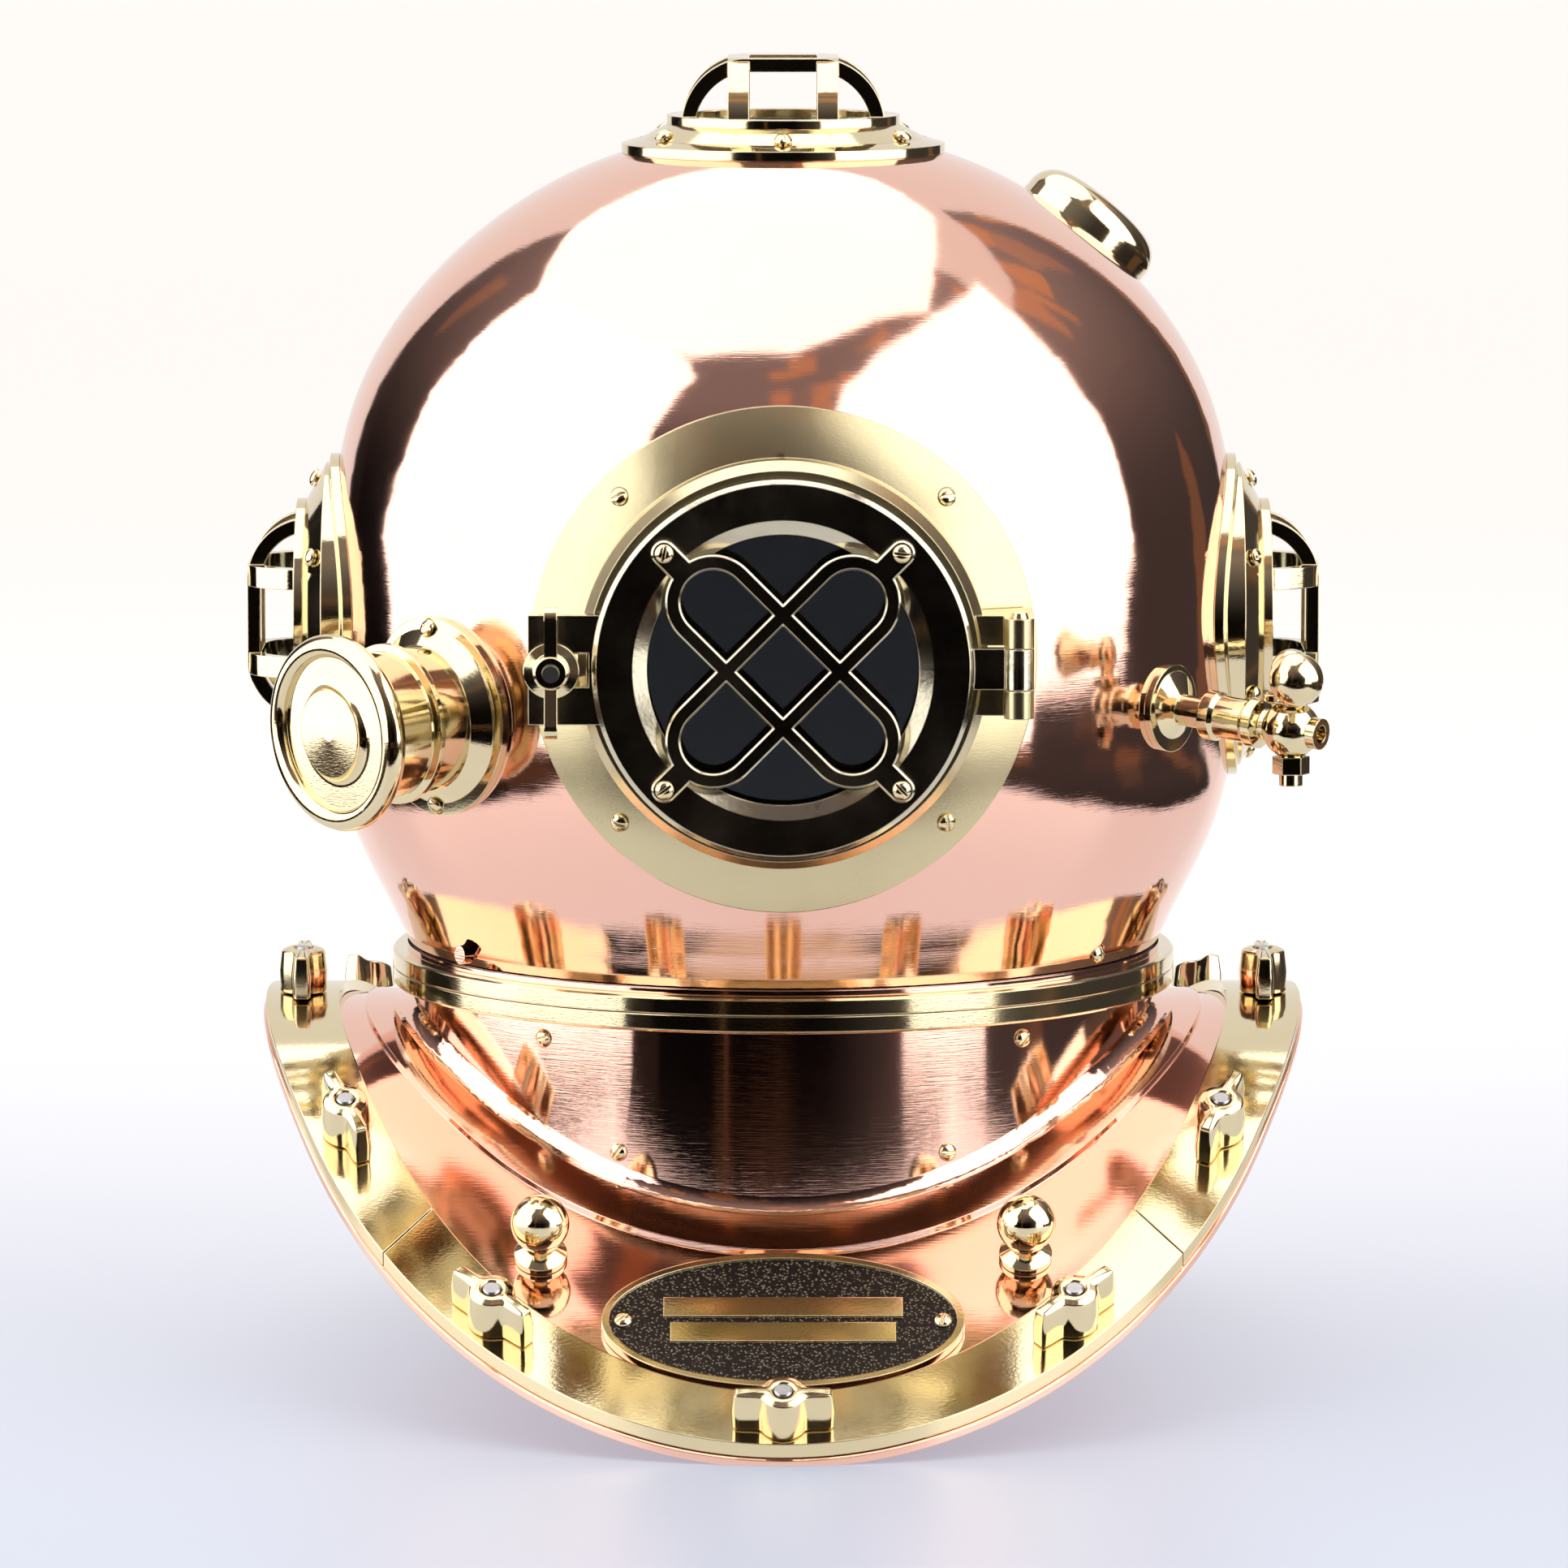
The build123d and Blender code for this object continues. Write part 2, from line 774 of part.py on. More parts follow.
def guard_bar(rise):
    # One arched bar, flat along its top
    inside = port_ring_r - plate_wall / 4
    half = math.sqrt(inside**2 - (guard_spread + guard_bar_wide / 2) ** 2)
    flat = half * guard_flat_share
    under = rise - guard_bar_thick
    foot = half - guard_bar_thick
    out, up = guard_shoulder_shares
    inner, lower = guard_under_shares
    shoulder = (half * out, rise * up)
    hollow = (half * out - guard_bar_thick * inner, under * lower)
    under_flat = flat - guard_bar_thick * guard_under_end_share
    outline = make_face(
        [
            Line((-flat, 0, rise), (flat, 0, rise)),
            ThreePointArc((flat, 0, rise), (shoulder[0], 0, shoulder[1]), (half, 0, 0)),
            Line((half, 0, 0), (foot, 0, 0)),
            ThreePointArc((foot, 0, 0), (hollow[0], 0, hollow[1]), (under_flat, 0, under)),
            Line((under_flat, 0, under), (-under_flat, 0, under)),
            ThreePointArc((-under_flat, 0, under), (-hollow[0], 0, hollow[1]), (-foot, 0, 0)),
            Line((-foot, 0, 0), (-half, 0, 0)),
            ThreePointArc((-half, 0, 0), (-shoulder[0], 0, shoulder[1]), (-flat, 0, rise)),
        ]
    )
    return extrude(outline, guard_bar_wide / 2, dir=(0, 1, 0), both=True)


def port_guard(place, rise):
    # Two bars each way, crossing like a lattice, on a ring screwed to the frame
    bar = guard_bar(rise)
    guard = ring(port_ring_r - port_ring_wide, port_ring_r, 0, guard_ring_thick)
    for turn in (0, 90):
        for side in (-1, 1):
            guard += Rotation(0, 0, turn) * (Location((0, side * guard_spread, 0)) * bar)
    return place * (Location((0, 0, port_ring_at)) * guard)


# Front port frame


def front_screw_places():
    places = []
    for k in range(front_screws):
        a = math.radians(45 + k * 360 / front_screws)
        x = front_screw_pcd * math.cos(a)
        z = port_z + front_screw_pcd * math.sin(a)
        y = -reach(looking_out(0, 0, (x, 0, z)), front_flange_thick)
        places.append(Plane(origin=(x, y, z), x_dir=(1, 0, 0), z_dir=(x, y, z - port_z)))
    return [p.location for p in places]


def front_port_frame():
    body = turned(
        [
            (front_bore_r, bonnet_r * front_inside_share),
            (front_body_r, bonnet_r * front_inside_share),
            (front_body_r, front_face - 2 * front_flange_thick),
            (front_body_r - front_flange_thick, front_face),
            (front_bore_r, front_face),
        ]
    )
    frame = on_bonnet(front_frame, front_bore_r, front_flange_r, front_flange_thick, body)
    frame -= front_frame * disc(front_bore_r, 0, 2 * bonnet_r)
    frame -= front_frame * ring(
        door_gasket_in_r - seat_gap,
        door_gasket_out_r + seat_gap,
        front_face - front_seat_step,
        front_face + cut_over,
    )
    for part in hinge_knuckles() + bolt_cheeks():
        frame += part
    for spot in front_screw_places():
        frame -= screw_hole(spot, flange_screw_long + running_gap)
    return frame


door_back = front_face + seat_gap
door_front = door_back + door_thick
hinge_y = -(door_back + hinge_back)
bolt_pivot_y = -(door_back - bolt_pivot_back)


def upright(x, y, radius, low, high):
    return Location((x, y, port_z)) * disc(radius, low, high)


def hinge_knuckles():
    # Two knuckles of the frame, above and below the door's own
    half = hinge_mid_high / 2
    levels = (
        (half + seat_gap, half + seat_gap + hinge_up_high),
        (-half - seat_gap - hinge_low_high, -half - seat_gap),
    )
    made = []
    for low, high in levels:
        eye = upright(hinge_out, hinge_y, hinge_knuckle_r, low, high)
        back = front_body_r * lug_root_share
        outer_back, inner_back = lug_back_shares
        leg = Location((0, 0, port_z + (low + high) / 2)) * extrude(
            make_face(
                Polyline(
                    (hinge_out + hinge_knuckle_r, hinge_y, 0),
                    (hinge_out + hinge_knuckle_r, -front_face * outer_back, 0),
                    (back, -front_face * inner_back, 0),
                    (back, -front_face + front_seat_step, 0),
                    (hinge_out - hinge_knuckle_r, -front_face + front_seat_step, 0),
                    (hinge_out - hinge_knuckle_r, hinge_y, 0),
                    close=True,
                )
            ),
            (high - low) / 2,
            both=True,
        )
        piece = (eye + leg) - bonnet_outside
        bore_r = hinge_pin_r + running_gap
        piece -= upright(hinge_out, hinge_y, bore_r, low - cut_over, high + cut_over)
        made.append(piece)
    return made


def bolt_cheeks():
    # Two cheeks on the frame that carry the swing bolt's pin
    made = []
    inner = bolt_eye_thick / 2 + seat_gap
    root = front_body_r * lug_root_share
    outer_back, inner_back = bolt_cheek_shares
    for side in (-1, 1):
        middle = side * (inner + bolt_cheek_thick / 2)
        plan = Polyline(
            (-bolt_out - bolt_eye_r, bolt_pivot_y, 0),
            (-bolt_out - bolt_eye_r, -front_face * outer_back, 0),
            (-root, -front_face * inner_back, 0),
            (-root, -front_face + 2 * front_seat_step, 0),
            (-bolt_out + bolt_eye_r, bolt_pivot_y - bolt_eye_r * bolt_nose_share, 0),
            (-bolt_out, bolt_pivot_y - bolt_eye_r, 0),
            close=True,
        )
        cheek = extrude(make_face(plan), bolt_cheek_thick / 2, both=True)
        cheek = Location((0, 0, port_z + middle)) * cheek - bonnet_outside
        bore_r = bolt_pin_r + running_gap
        cheek -= upright(-bolt_out, bolt_pivot_y, bore_r, -2 * fork_high, 2 * fork_high)
        made.append(cheek)
    return made


def front_pins():
    # The door's hinge pin with its domed head, and the swing bolt's pin
    half = hinge_mid_high / 2 + seat_gap
    top = half + hinge_up_high
    low = -half - hinge_low_high
    pin = turned(
        [
            (0, low),
            (hinge_pin_r, low),
            (hinge_pin_r, top),
            (hinge_head_r, top),
            *[(hinge_head_r * out, top + hinge_head_r * up) for out, up in hinge_dome_shares],
        ]
    )
    span = bolt_eye_thick / 2 + seat_gap + bolt_cheek_thick
    small = upright(-bolt_out, bolt_pivot_y, bolt_pin_r, -span, span)
    return [Location((hinge_out, hinge_y, port_z)) * pin, small]


# Front door


def door_ring():
    body = turned(
        [
            (door_sight_r, door_back + door_glass_thick + seat_gap),
            (door_glass_r + seat_gap, door_back + door_glass_thick + seat_gap),
            (door_glass_r + seat_gap, door_back),
            (door_r, door_back),
            (door_r, door_front - door_edge),
            (door_r - door_edge, door_front),
            (door_bezel_r, door_front),
            (door_sight_r, door_front - door_bezel_deep),
        ]
    )
    door = front_frame * body
    arm_x = (door_r + hinge_out - hinge_arm_lap) / 2
    arm_y = -(door_back + hinge_arm_thick / 2)
    arm_long = hinge_out - door_r + hinge_arm_lap
    door += Location((arm_x, arm_y, port_z)) * Box(arm_long, hinge_arm_thick, hinge_mid_high)
    door += upright(hinge_out, hinge_y, hinge_knuckle_r, -hinge_mid_high / 2, hinge_mid_high / 2)
    fork_root = door_r * fork_root_share
    fork_x = -(fork_root + fork_out) / 2
    fork_y = -(door_front - fork_thick / 2 - door_edge)
    fork = Location((fork_x, fork_y, port_z)) * Box(fork_out - fork_root, fork_thick, fork_high)
    slot_long = 2 * fork_out - fork_slot_end
    slot_x = -(fork_slot_end + 2 * fork_out) / 2
    slot = Location((slot_x, -door_front, port_z)) * Box(slot_long, 4 * fork_thick, fork_slot)
    door += fork - slot
    bore_r = hinge_pin_r + running_gap
    door -= upright(hinge_out, hinge_y, bore_r, -hinge_mid_high, hinge_mid_high)
    for spot in grille_screw_places():
        door -= screw_hole(spot, screw_long + running_gap)
    return door


def door_glass():
    return front_frame * disc(door_glass_r, door_back, door_back + door_glass_thick)


def door_gasket():
    # The soft seat in the frame's face that the closed door presses on
    low = front_face - front_seat_step
    return front_frame * ring(door_gasket_in_r, door_gasket_out_r, low, front_face)


def grille_screw_places():
    places = []
    for k in range(grille_ears):
        turn = Rotation(0, 0, grille_turns[0] + k * 360 / grille_ears)
        spot = Location((grille_ear_out, 0, door_front + grille_thick + seat_gap))
        places.append(front_frame.location * turn * spot)
    return places


def stadium(half_long, half_wide):
    # A long loop's outline, rounded at both ends
    return SlotOverall(2 * half_long, 2 * half_wide)


def door_grille():
    # Two crossed long loops with an ear at each end, bevelled on the front
    outer_reach = grille_reach + grille_bar
    inner_half = (grille_pitch - grille_bar) / 2
    outer_half = (grille_pitch + grille_bar) / 2
    plate = Sketch()
    holes = Sketch()
    for turn in grille_turns:
        aim = Rotation(0, 0, turn)
        plate += aim * stadium(outer_reach, outer_half)
        plate += aim * stadium(grille_ear_out + grille_ear_r, grille_ear_r)
    for turn in grille_turns:
        aim = Rotation(0, 0, turn)
        across = Rotation(0, 0, turn + 90)
        long_hole = aim * stadium(grille_reach, inner_half)
        holes += long_hole & (across * Rectangle(2 * grille_ear_out, 2 * inner_half))
        holes += long_hole - across * Rectangle(2 * grille_ear_out, 2 * outer_half)
    face = plate - holes
    grille = extrude(face, grille_thick)
    front_edges = grille.faces().sort_by(Axis.Z)[-1].edges()
    grille = chamfer(front_edges, grille_bevel)
    grille = front_frame * (Location((0, 0, door_front + seat_gap)) * grille)
    for spot in grille_screw_places():
        grille -= screw_hole(spot, screw_long + running_gap)
    return grille


# Swing bolt with its nut


nut_seat_y = door_front - door_edge + seat_gap


def swing_bolt():
    long = nut_seat_y + swing_nut_high + bolt_proud
    eye = upright(-bolt_out, bolt_pivot_y, bolt_eye_r, -bolt_eye_thick / 2, bolt_eye_thick / 2)
    root = (-bolt_out, bolt_pivot_y, port_z)
    forward = Plane(origin=root, x_dir=(1, 0, 0), z_dir=(0, -1, 0))
    bolt = eye + forward * disc(bolt_r, 0, long + bolt_pivot_y)
    bore_r = bolt_pin_r + running_gap
    return bolt - upright(-bolt_out, bolt_pivot_y, bore_r, -fork_high, fork_high)


def swing_nut():
    place = Plane(origin=(-bolt_out, -nut_seat_y, port_z), x_dir=(0, 0, 1), z_dir=(0, -1, 0))
    boss = turned(
        [
            (0, 0),
            (swing_nut_skirt_r, 0),
            (swing_nut_skirt_r, swing_nut_skirt_high * swing_nut_skirt_share),
            (swing_nut_boss_r, swing_nut_skirt_high),
            (swing_nut_boss_r, swing_nut_high - nut_edge),
            (swing_nut_boss_r - nut_edge, swing_nut_high),
            (0, swing_nut_high),
        ]
    )
    half = swing_nut_span / 2
    root_r = swing_nut_boss_r * swing_nut_root_share
    low = swing_nut_skirt_high
    ear_low = low + swing_nut_wing_up
    ear_mid = low + swing_nut_wing_up + swing_nut_wing_long / 2
    ear_high = low + swing_nut_wing_long
    nut = boss
    for side in (-1, 1):
        root = side * root_r
        inner = side * (half - swing_nut_wing)
        wing = make_face(
            [
                Line((root, 0, low), (inner, 0, ear_low)),
                ThreePointArc((inner, 0, ear_low), (side * half, 0, ear_mid), (inner, 0, ear_high)),
                Line((inner, 0, ear_high), (root, 0, swing_nut_high - nut_edge)),
                Line((root, 0, swing_nut_high - nut_edge), (root, 0, low)),
            ]
        )
        nut += extrude(wing, swing_nut_wing / 2, dir=(0, 1, 0), both=True)
    nut -= disc(bolt_r + running_gap, -cut_over, swing_nut_high + cut_over)
    return place * nut


# Exhaust valve



def aimed_at(turn, dip, z):
    # A frame on the axis that looks out and down to the height z on the bonnet
    return looking_out(turn, dip, (0, 0, z + bonnet_r * math.tan(math.radians(dip))))


exhaust_out = bonnet_r - exhaust_sunk
exhaust_frame = aimed_at(exhaust_turn, exhaust_dip, exhaust_seat_z)


def exhaust_levels():
    top = exhaust_out + exhaust_body_out
    seat = exhaust_out - exhaust_sunk
    return seat, top


def exhaust_body():
    seat, top = exhaust_levels()
    middle = (exhaust_out + top) / 2 + exhaust_ridge_shift
    back = bonnet_r * inside_share
    body = turned(
        [
            (exhaust_seat_r, back),
            (exhaust_cone_r, back),
            (exhaust_cone_r, exhaust_out + exhaust_flange_thick),
            (exhaust_body_r, exhaust_out + exhaust_flange_thick * exhaust_foot_share),
            (exhaust_body_r, middle - exhaust_ridge_thick / 2),
            (exhaust_ridge_r, middle - exhaust_ridge_thick / 4),
            (exhaust_ridge_r, middle + exhaust_ridge_thick / 4),
            (exhaust_body_r, middle + exhaust_ridge_thick / 2),
            (exhaust_body_r, top - nut_edge),
            (exhaust_body_r - nut_edge, top),
            (exhaust_stem_r + running_gap, top),
            (exhaust_stem_r + running_gap, top - exhaust_wall),
            (exhaust_body_r - exhaust_wall, top - exhaust_wall),
            (exhaust_body_r - exhaust_wall, seat),
            (exhaust_seat_r, seat),
        ]
    )
    inner = exhaust_cone_r - plate_wall
    solid = on_bonnet(exhaust_frame, inner, exhaust_flange_r, exhaust_flange_thick, body)
    solid -= exhaust_frame * disc(exhaust_seat_r, 0, seat)
    solid -= exhaust_frame * disc(exhaust_body_r - exhaust_wall, seat, top - exhaust_wall)
    for k in range(exhaust_ports):
        step = (k - (exhaust_ports - 1) / 2) * exhaust_port_step
        turn = Rotation(0, 0, exhaust_port_turn + step)
        low = middle - exhaust_ridge_thick - exhaust_port_r
        hole = Location((-exhaust_body_r, 0, low), (0, 90, 0))
        solid -= exhaust_frame.location * turn * hole * Cylinder(exhaust_port_r, 3 * exhaust_wall)
    for spot in exhaust_screw_places():
        solid -= screw_hole(spot, flange_screw_long + running_gap)
    return solid


def exhaust_screw_places():
    places = []
    away = (exhaust_flange_r + exhaust_cone_r) / 2 - exhaust_screw_in
    up = exhaust_out + exhaust_flange_thick + exhaust_screw_up
    for side in (-1, 1):
        spot = Location((0, side * away, up), (-side * exhaust_screw_lean, 0, 0))
        places.append(exhaust_frame.location * spot)
    return places


def exhaust_wheel():
    # The adjusting hand wheel: a dished disc with a rounded bead and a raised boss
    _, top = exhaust_levels()
    low = top + exhaust_wheel_gap
    r = exhaust_wheel_r
    bead = exhaust_wheel_thick * wheel_bead_share
    bore = exhaust_stem_r + running_gap
    back = top + seat_gap
    up = {name: low + exhaust_wheel_thick * share for name, share in wheel_up_shares.items()}
    face = r - bead
    fall = r - bead * wheel_in_shares["fall"]
    dish = r - bead * wheel_in_shares["dish"]
    hub = exhaust_hub_r + bead
    rise = exhaust_hub_r + bead * wheel_in_shares["rise"]
    high = low + exhaust_wheel_thick
    sides = [
        Line((bore, 0, back), (exhaust_bush_r, 0, back)),
        Line((exhaust_bush_r, 0, back), (exhaust_bush_r, 0, low)),
        Line((exhaust_bush_r, 0, low), (face, 0, up["rim"])),
        ThreePointArc((face, 0, up["rim"]), (r, 0, up["bead"]), (face, 0, high)),
        ThreePointArc((face, 0, high), (fall, 0, up["fall"]), (dish, 0, up["dish"])),
        Line((dish, 0, up["dish"]), (hub, 0, up["dish"])),
        ThreePointArc((hub, 0, up["dish"]), (rise, 0, up["rise"]), (exhaust_hub_r, 0, up["fall"])),
        Line((exhaust_hub_r, 0, up["fall"]), (0, 0, up["dome"])),
        Line((0, 0, up["dome"]), (0, 0, back)),
        Line((0, 0, back), (bore, 0, back)),
    ]
    wheel = revolve(make_face(sides), Axis.Z)
    deep = top + exhaust_stem_proud + exhaust_travel + seat_gap
    return exhaust_frame * (wheel - disc(bore, 0, deep))


def exhaust_stem():
    # Valve disc on a stem, with the chin button on its inner end
    seat, top = exhaust_levels()
    low = seat + seat_gap
    inner = exhaust_out - chin_button_in
    end = top + exhaust_stem_proud
    body = turned(
        [
            (0, inner),
            (chin_button_r, inner),
            (chin_button_r, inner + exhaust_disc_thick),
            (exhaust_stem_r, inner + 2 * exhaust_disc_thick),
            (exhaust_stem_r, low),
            (exhaust_disc_r, low),
            (exhaust_disc_r, low + exhaust_disc_thick),
            (exhaust_stem_r, low + exhaust_disc_thick),
            (exhaust_stem_r, end),
            (0, end),
        ]
    )
    return exhaust_frame * body


def coil(radius, wire, high, turns):
    # A wound spring with its pitch, ends cut flat
    path = Helix(pitch=high / turns, height=high, radius=radius)
    start = Plane(origin=path @ 0, z_dir=path % 0)
    return sweep(start * Circle(wire), path=path, is_frenet=True)


def exhaust_spring():
    seat, top = exhaust_levels()
    low = seat + seat_gap + exhaust_disc_thick + seat_gap + spring_wire_r
    high = top - exhaust_wall - seat_gap - spring_wire_r
    spring = coil(spring_r, spring_wire_r, high - low, spring_turns)
    return exhaust_frame * (Location((0, 0, low)) * spring)


# Spitcock

cock_frame = aimed_at(cock_turn, cock_dip, cock_seat_z)
cock_centre = cock_frame.location * Location((0, 0, bonnet_r + cock_ball_out))
cock_at = cock_centre.position
cock_flat = cock_ball_r * cock_flat_share


def cock_body():
    start = bonnet_r
    end = bonnet_r + cock_ball_out
    radii = {"waist": cock_waist_r, "collar": cock_collar_r, "barrel": cock_barrel_r}
    body = turned(
        [
            (0, bonnet_r * small_inside_share),
            (cock_foot_r, bonnet_r * small_inside_share),
            (cock_foot_r, start + cock_flange_thick),
            (cock_waist_r, start + cock_flange_thick * cock_foot_share),
            *[(radii[name], start + cock_ball_out * share) for name, share in cock_profile_shares],
            (cock_waist_r, end),
            (0, end),
        ]
    )
    solid = on_bonnet(cock_frame, cock_waist_r, cock_flange_r, cock_flange_thick, body)
    ball = Location(tuple(cock_at)) * Sphere(cock_ball_r)
    slab = Box(4 * cock_ball_r, 4 * cock_ball_r, 2 * cock_flat)
    solid += ball & (Location(tuple(cock_at)) * slab)
    solid += cock_frame * disc(cock_waist_r, end, end + cock_ball_r + plate_wall)
    solid -= cock_frame * disc(cock_bore_r, 0, end + 2 * cock_ball_r)
    plug_bore = disc(cock_plug_r + running_gap, -2 * cock_ball_r, 2 * cock_ball_r)
    solid -= Location(tuple(cock_at)) * plug_bore
    return solid


def cock_lever():
    # The tapered plug, its washer and the lever in one turning piece
    flat = cock_flat
    low = -flat - seat_gap - cock_nut_thick - cock_tip_long
    washer_share, hub_share = cock_hub_shares
    plug = turned(
        [
            (0, low),
            (cock_plug_r, low),
            (cock_plug_r, flat + seat_gap),
            (cock_washer_r, flat + seat_gap),
            (cock_washer_r, flat + seat_gap + cock_washer_thick),
            (cock_lever_hub_r, flat + seat_gap + cock_washer_thick * washer_share),
            (cock_lever_hub_r * hub_share, cock_lever_rise - cock_lever_thick),
            (cock_lever_hub_r, cock_lever_rise - cock_lever_thick),
            (cock_lever_hub_r, cock_lever_rise + cock_lever_thick / 2),
            (0, cock_lever_rise + cock_lever_thick / 2),
        ]
    )
    far = cock_lever_long - cock_lever_end_r
    root = cock_lever_hub_r * cock_blade_share
    tip = cock_lever_end_r
    blade = make_face(
        [
            Line((-root, 0), (-tip, -far)),
            ThreePointArc((-tip, -far), (0, -cock_lever_long), (tip, -far)),
            Line((tip, -far), (root, 0)),
            Line((root, 0), (-root, 0)),
        ]
    )
    blade_low = cock_lever_rise - cock_lever_thick / 2
    lever = plug + Location((0, 0, blade_low)) * extrude(blade, cock_lever_thick)
    lever -= plug_way() - disc(cock_plug_r, flat, 2 * flat)
    return Location(tuple(cock_at)) * lever


def plug_way():
    # The way through the plug, in line with the body's bore when the tap is open
    way = Rotation(90, 0, 0) * Cylinder(cock_bore_r, 4 * cock_plug_r)
    return Rotation(0, 0, cock_turn + 90) * way


def cock_nut():
    low = -cock_flat - seat_gap - cock_nut_thick
    hexagon = extrude(RegularPolygon(cock_nut_across / 2, 6, major_radius=False), cock_nut_thick)
    nut = Location((0, 0, low)) * hexagon
    nut -= disc(cock_plug_r + running_gap, 2 * low, -low)
    return Location(tuple(cock_at)) * nut


# Telephone cup

cup_frame = looking_out(cup_turn, -cup_tilt, (0, 0, port_z + cup_up))
cup_seat = bonnet_r - cup_sunk


def telephone_cup():
    top = cup_seat + cup_high
    body = turned(
        [
            (0, bonnet_r * small_inside_share),
            (cup_r, bonnet_r * small_inside_share),
            (cup_r, top - cup_edge),
            (cup_r - cup_edge * cup_edge_share, top - cup_edge * cup_edge_share),
            (cup_r - cup_edge, top),
            (0, top),
        ]
    )
    cup = on_bonnet(cup_frame, cup_r - cup_wall, cup_flange_r, cup_flange_thick, body)
    return cup - cup_frame * disc(cup_r - cup_wall, 0, top - cup_wall)


def telephone_receiver():
    top = cup_seat + cup_high - cup_wall - seat_gap
    body = turned(
        [
            (0, top - receiver_thick),
            (receiver_r * receiver_back_share, top - receiver_thick),
            (receiver_r, top - receiver_thick * receiver_back_share),
            (receiver_r, top),
            (0, top),
        ]
    )
    return cup_frame * body


# Rear inlets


def elbow_frame(side):
    return looking_out(180 - side * elbow_turn, 0, (0, 0, elbow_z))


def elbow_levels():
    start = bonnet_r - elbow_sunk
    return start, start + elbow_flange_thick + elbow_run


def elbow_point(angle, beyond):
    # A point on the bent tube's centre line, and beyond it along the run there
    _, bend = elbow_levels()
    a = math.radians(angle)
    y = -elbow_bend_r * (1 - math.cos(a)) - beyond * math.sin(a)
    z = bend + elbow_bend_r * math.sin(a) + beyond * math.cos(a)
    return (0, y, z)


def elbow_mouth(beyond):
    # The frame at the tube's end, looking out of it
    a = math.radians(elbow_bend)
    ahead = (0, -math.sin(a), math.cos(a))
    return Plane(origin=elbow_point(elbow_bend, beyond), x_dir=(1, 0, 0), z_dir=ahead)


def elbow(side):
    # A bent tube that leaves the bonnet and leans down, with a hexagon at its end
    place = elbow_frame(side)
    start, bend = elbow_levels()
    body = turned(
        [
            (0, bonnet_r * small_inside_share),
            (elbow_foot_r, bonnet_r * small_inside_share),
            (elbow_foot_r, start + elbow_flange_thick),
            (elbow_tube_r, start + elbow_flange_thick * 2),
            (elbow_tube_r, bend),
            (0, bend),
        ]
    )
    solid = on_bonnet(place, elbow_tube_r, elbow_flange_r, elbow_flange_thick, body)
    straight = (0, 0, bonnet_r * inside_share)
    corner = (0, 0, bend)
    middle = elbow_point(elbow_bend / 2, 0)
    turned_down = elbow_point(elbow_bend, 0)
    end = elbow_point(elbow_bend, elbow_end_long)
    arc = ThreePointArc(corner, middle, turned_down)
    route = Wire([arc, Line(turned_down, end)])
    tube = sweep(Location(corner) * Circle(elbow_tube_r), path=route)
    bore_route = Wire([Line(straight, corner), arc, Line(turned_down, end)])
    bore = sweep(Location(straight) * Circle(elbow_bore_r), path=bore_route)
    mouth = elbow_mouth(0)
    hexagon = extrude(RegularPolygon(elbow_hex / 2, 6, major_radius=False), elbow_hex_long)
    solid += place * tube
    solid += place * (mouth * hexagon)
    solid += place * (mouth * disc(elbow_end_r, elbow_hex_long, elbow_end_long))
    return solid - place * bore


def check_valve_parts():
    # Non-return valve on the air inlet's mouth: body, disc and spring
    mouth = elbow_frame(1) * elbow_mouth(elbow_end_long)
    r = check_body_r
    bore = r - 2 * plate_wall
    seat = check_long - 2 * plate_wall
    waist_low, waist_high = check_waist_shares
    body = turned(
        [
            (elbow_bore_r, 0),
            (r - check_edge, 0),
            (r, check_edge),
            (r, check_long * waist_low),
            (check_mouth_r, check_long * waist_high),
            (check_mouth_r, check_long),
            (check_seat_r, check_long),
            (check_seat_r, seat),
            (bore, seat),
            (bore, 2 * plate_wall),
            (elbow_bore_r, 2 * plate_wall),
        ]
    )
    low = seat - seat_gap
    flap = turned(
        [
            (0, low - check_disc_thick),
            (check_disc_r, low - check_disc_thick),
            (check_disc_r, low),
            (0, low),
        ]
    )
    spring_low = 2 * plate_wall + seat_gap + spring_wire_r
    spring_high = low - check_disc_thick - seat_gap - spring_wire_r
    long = spring_high - spring_low
    spring = coil(check_spring_r, spring_wire_r, long, check_spring_turns)
    spring = Location((0, 0, spring_low)) * spring
    return mouth * body, mouth * flap, mouth * spring


# Rear safety latch

latch_y = collar_r + latch_out


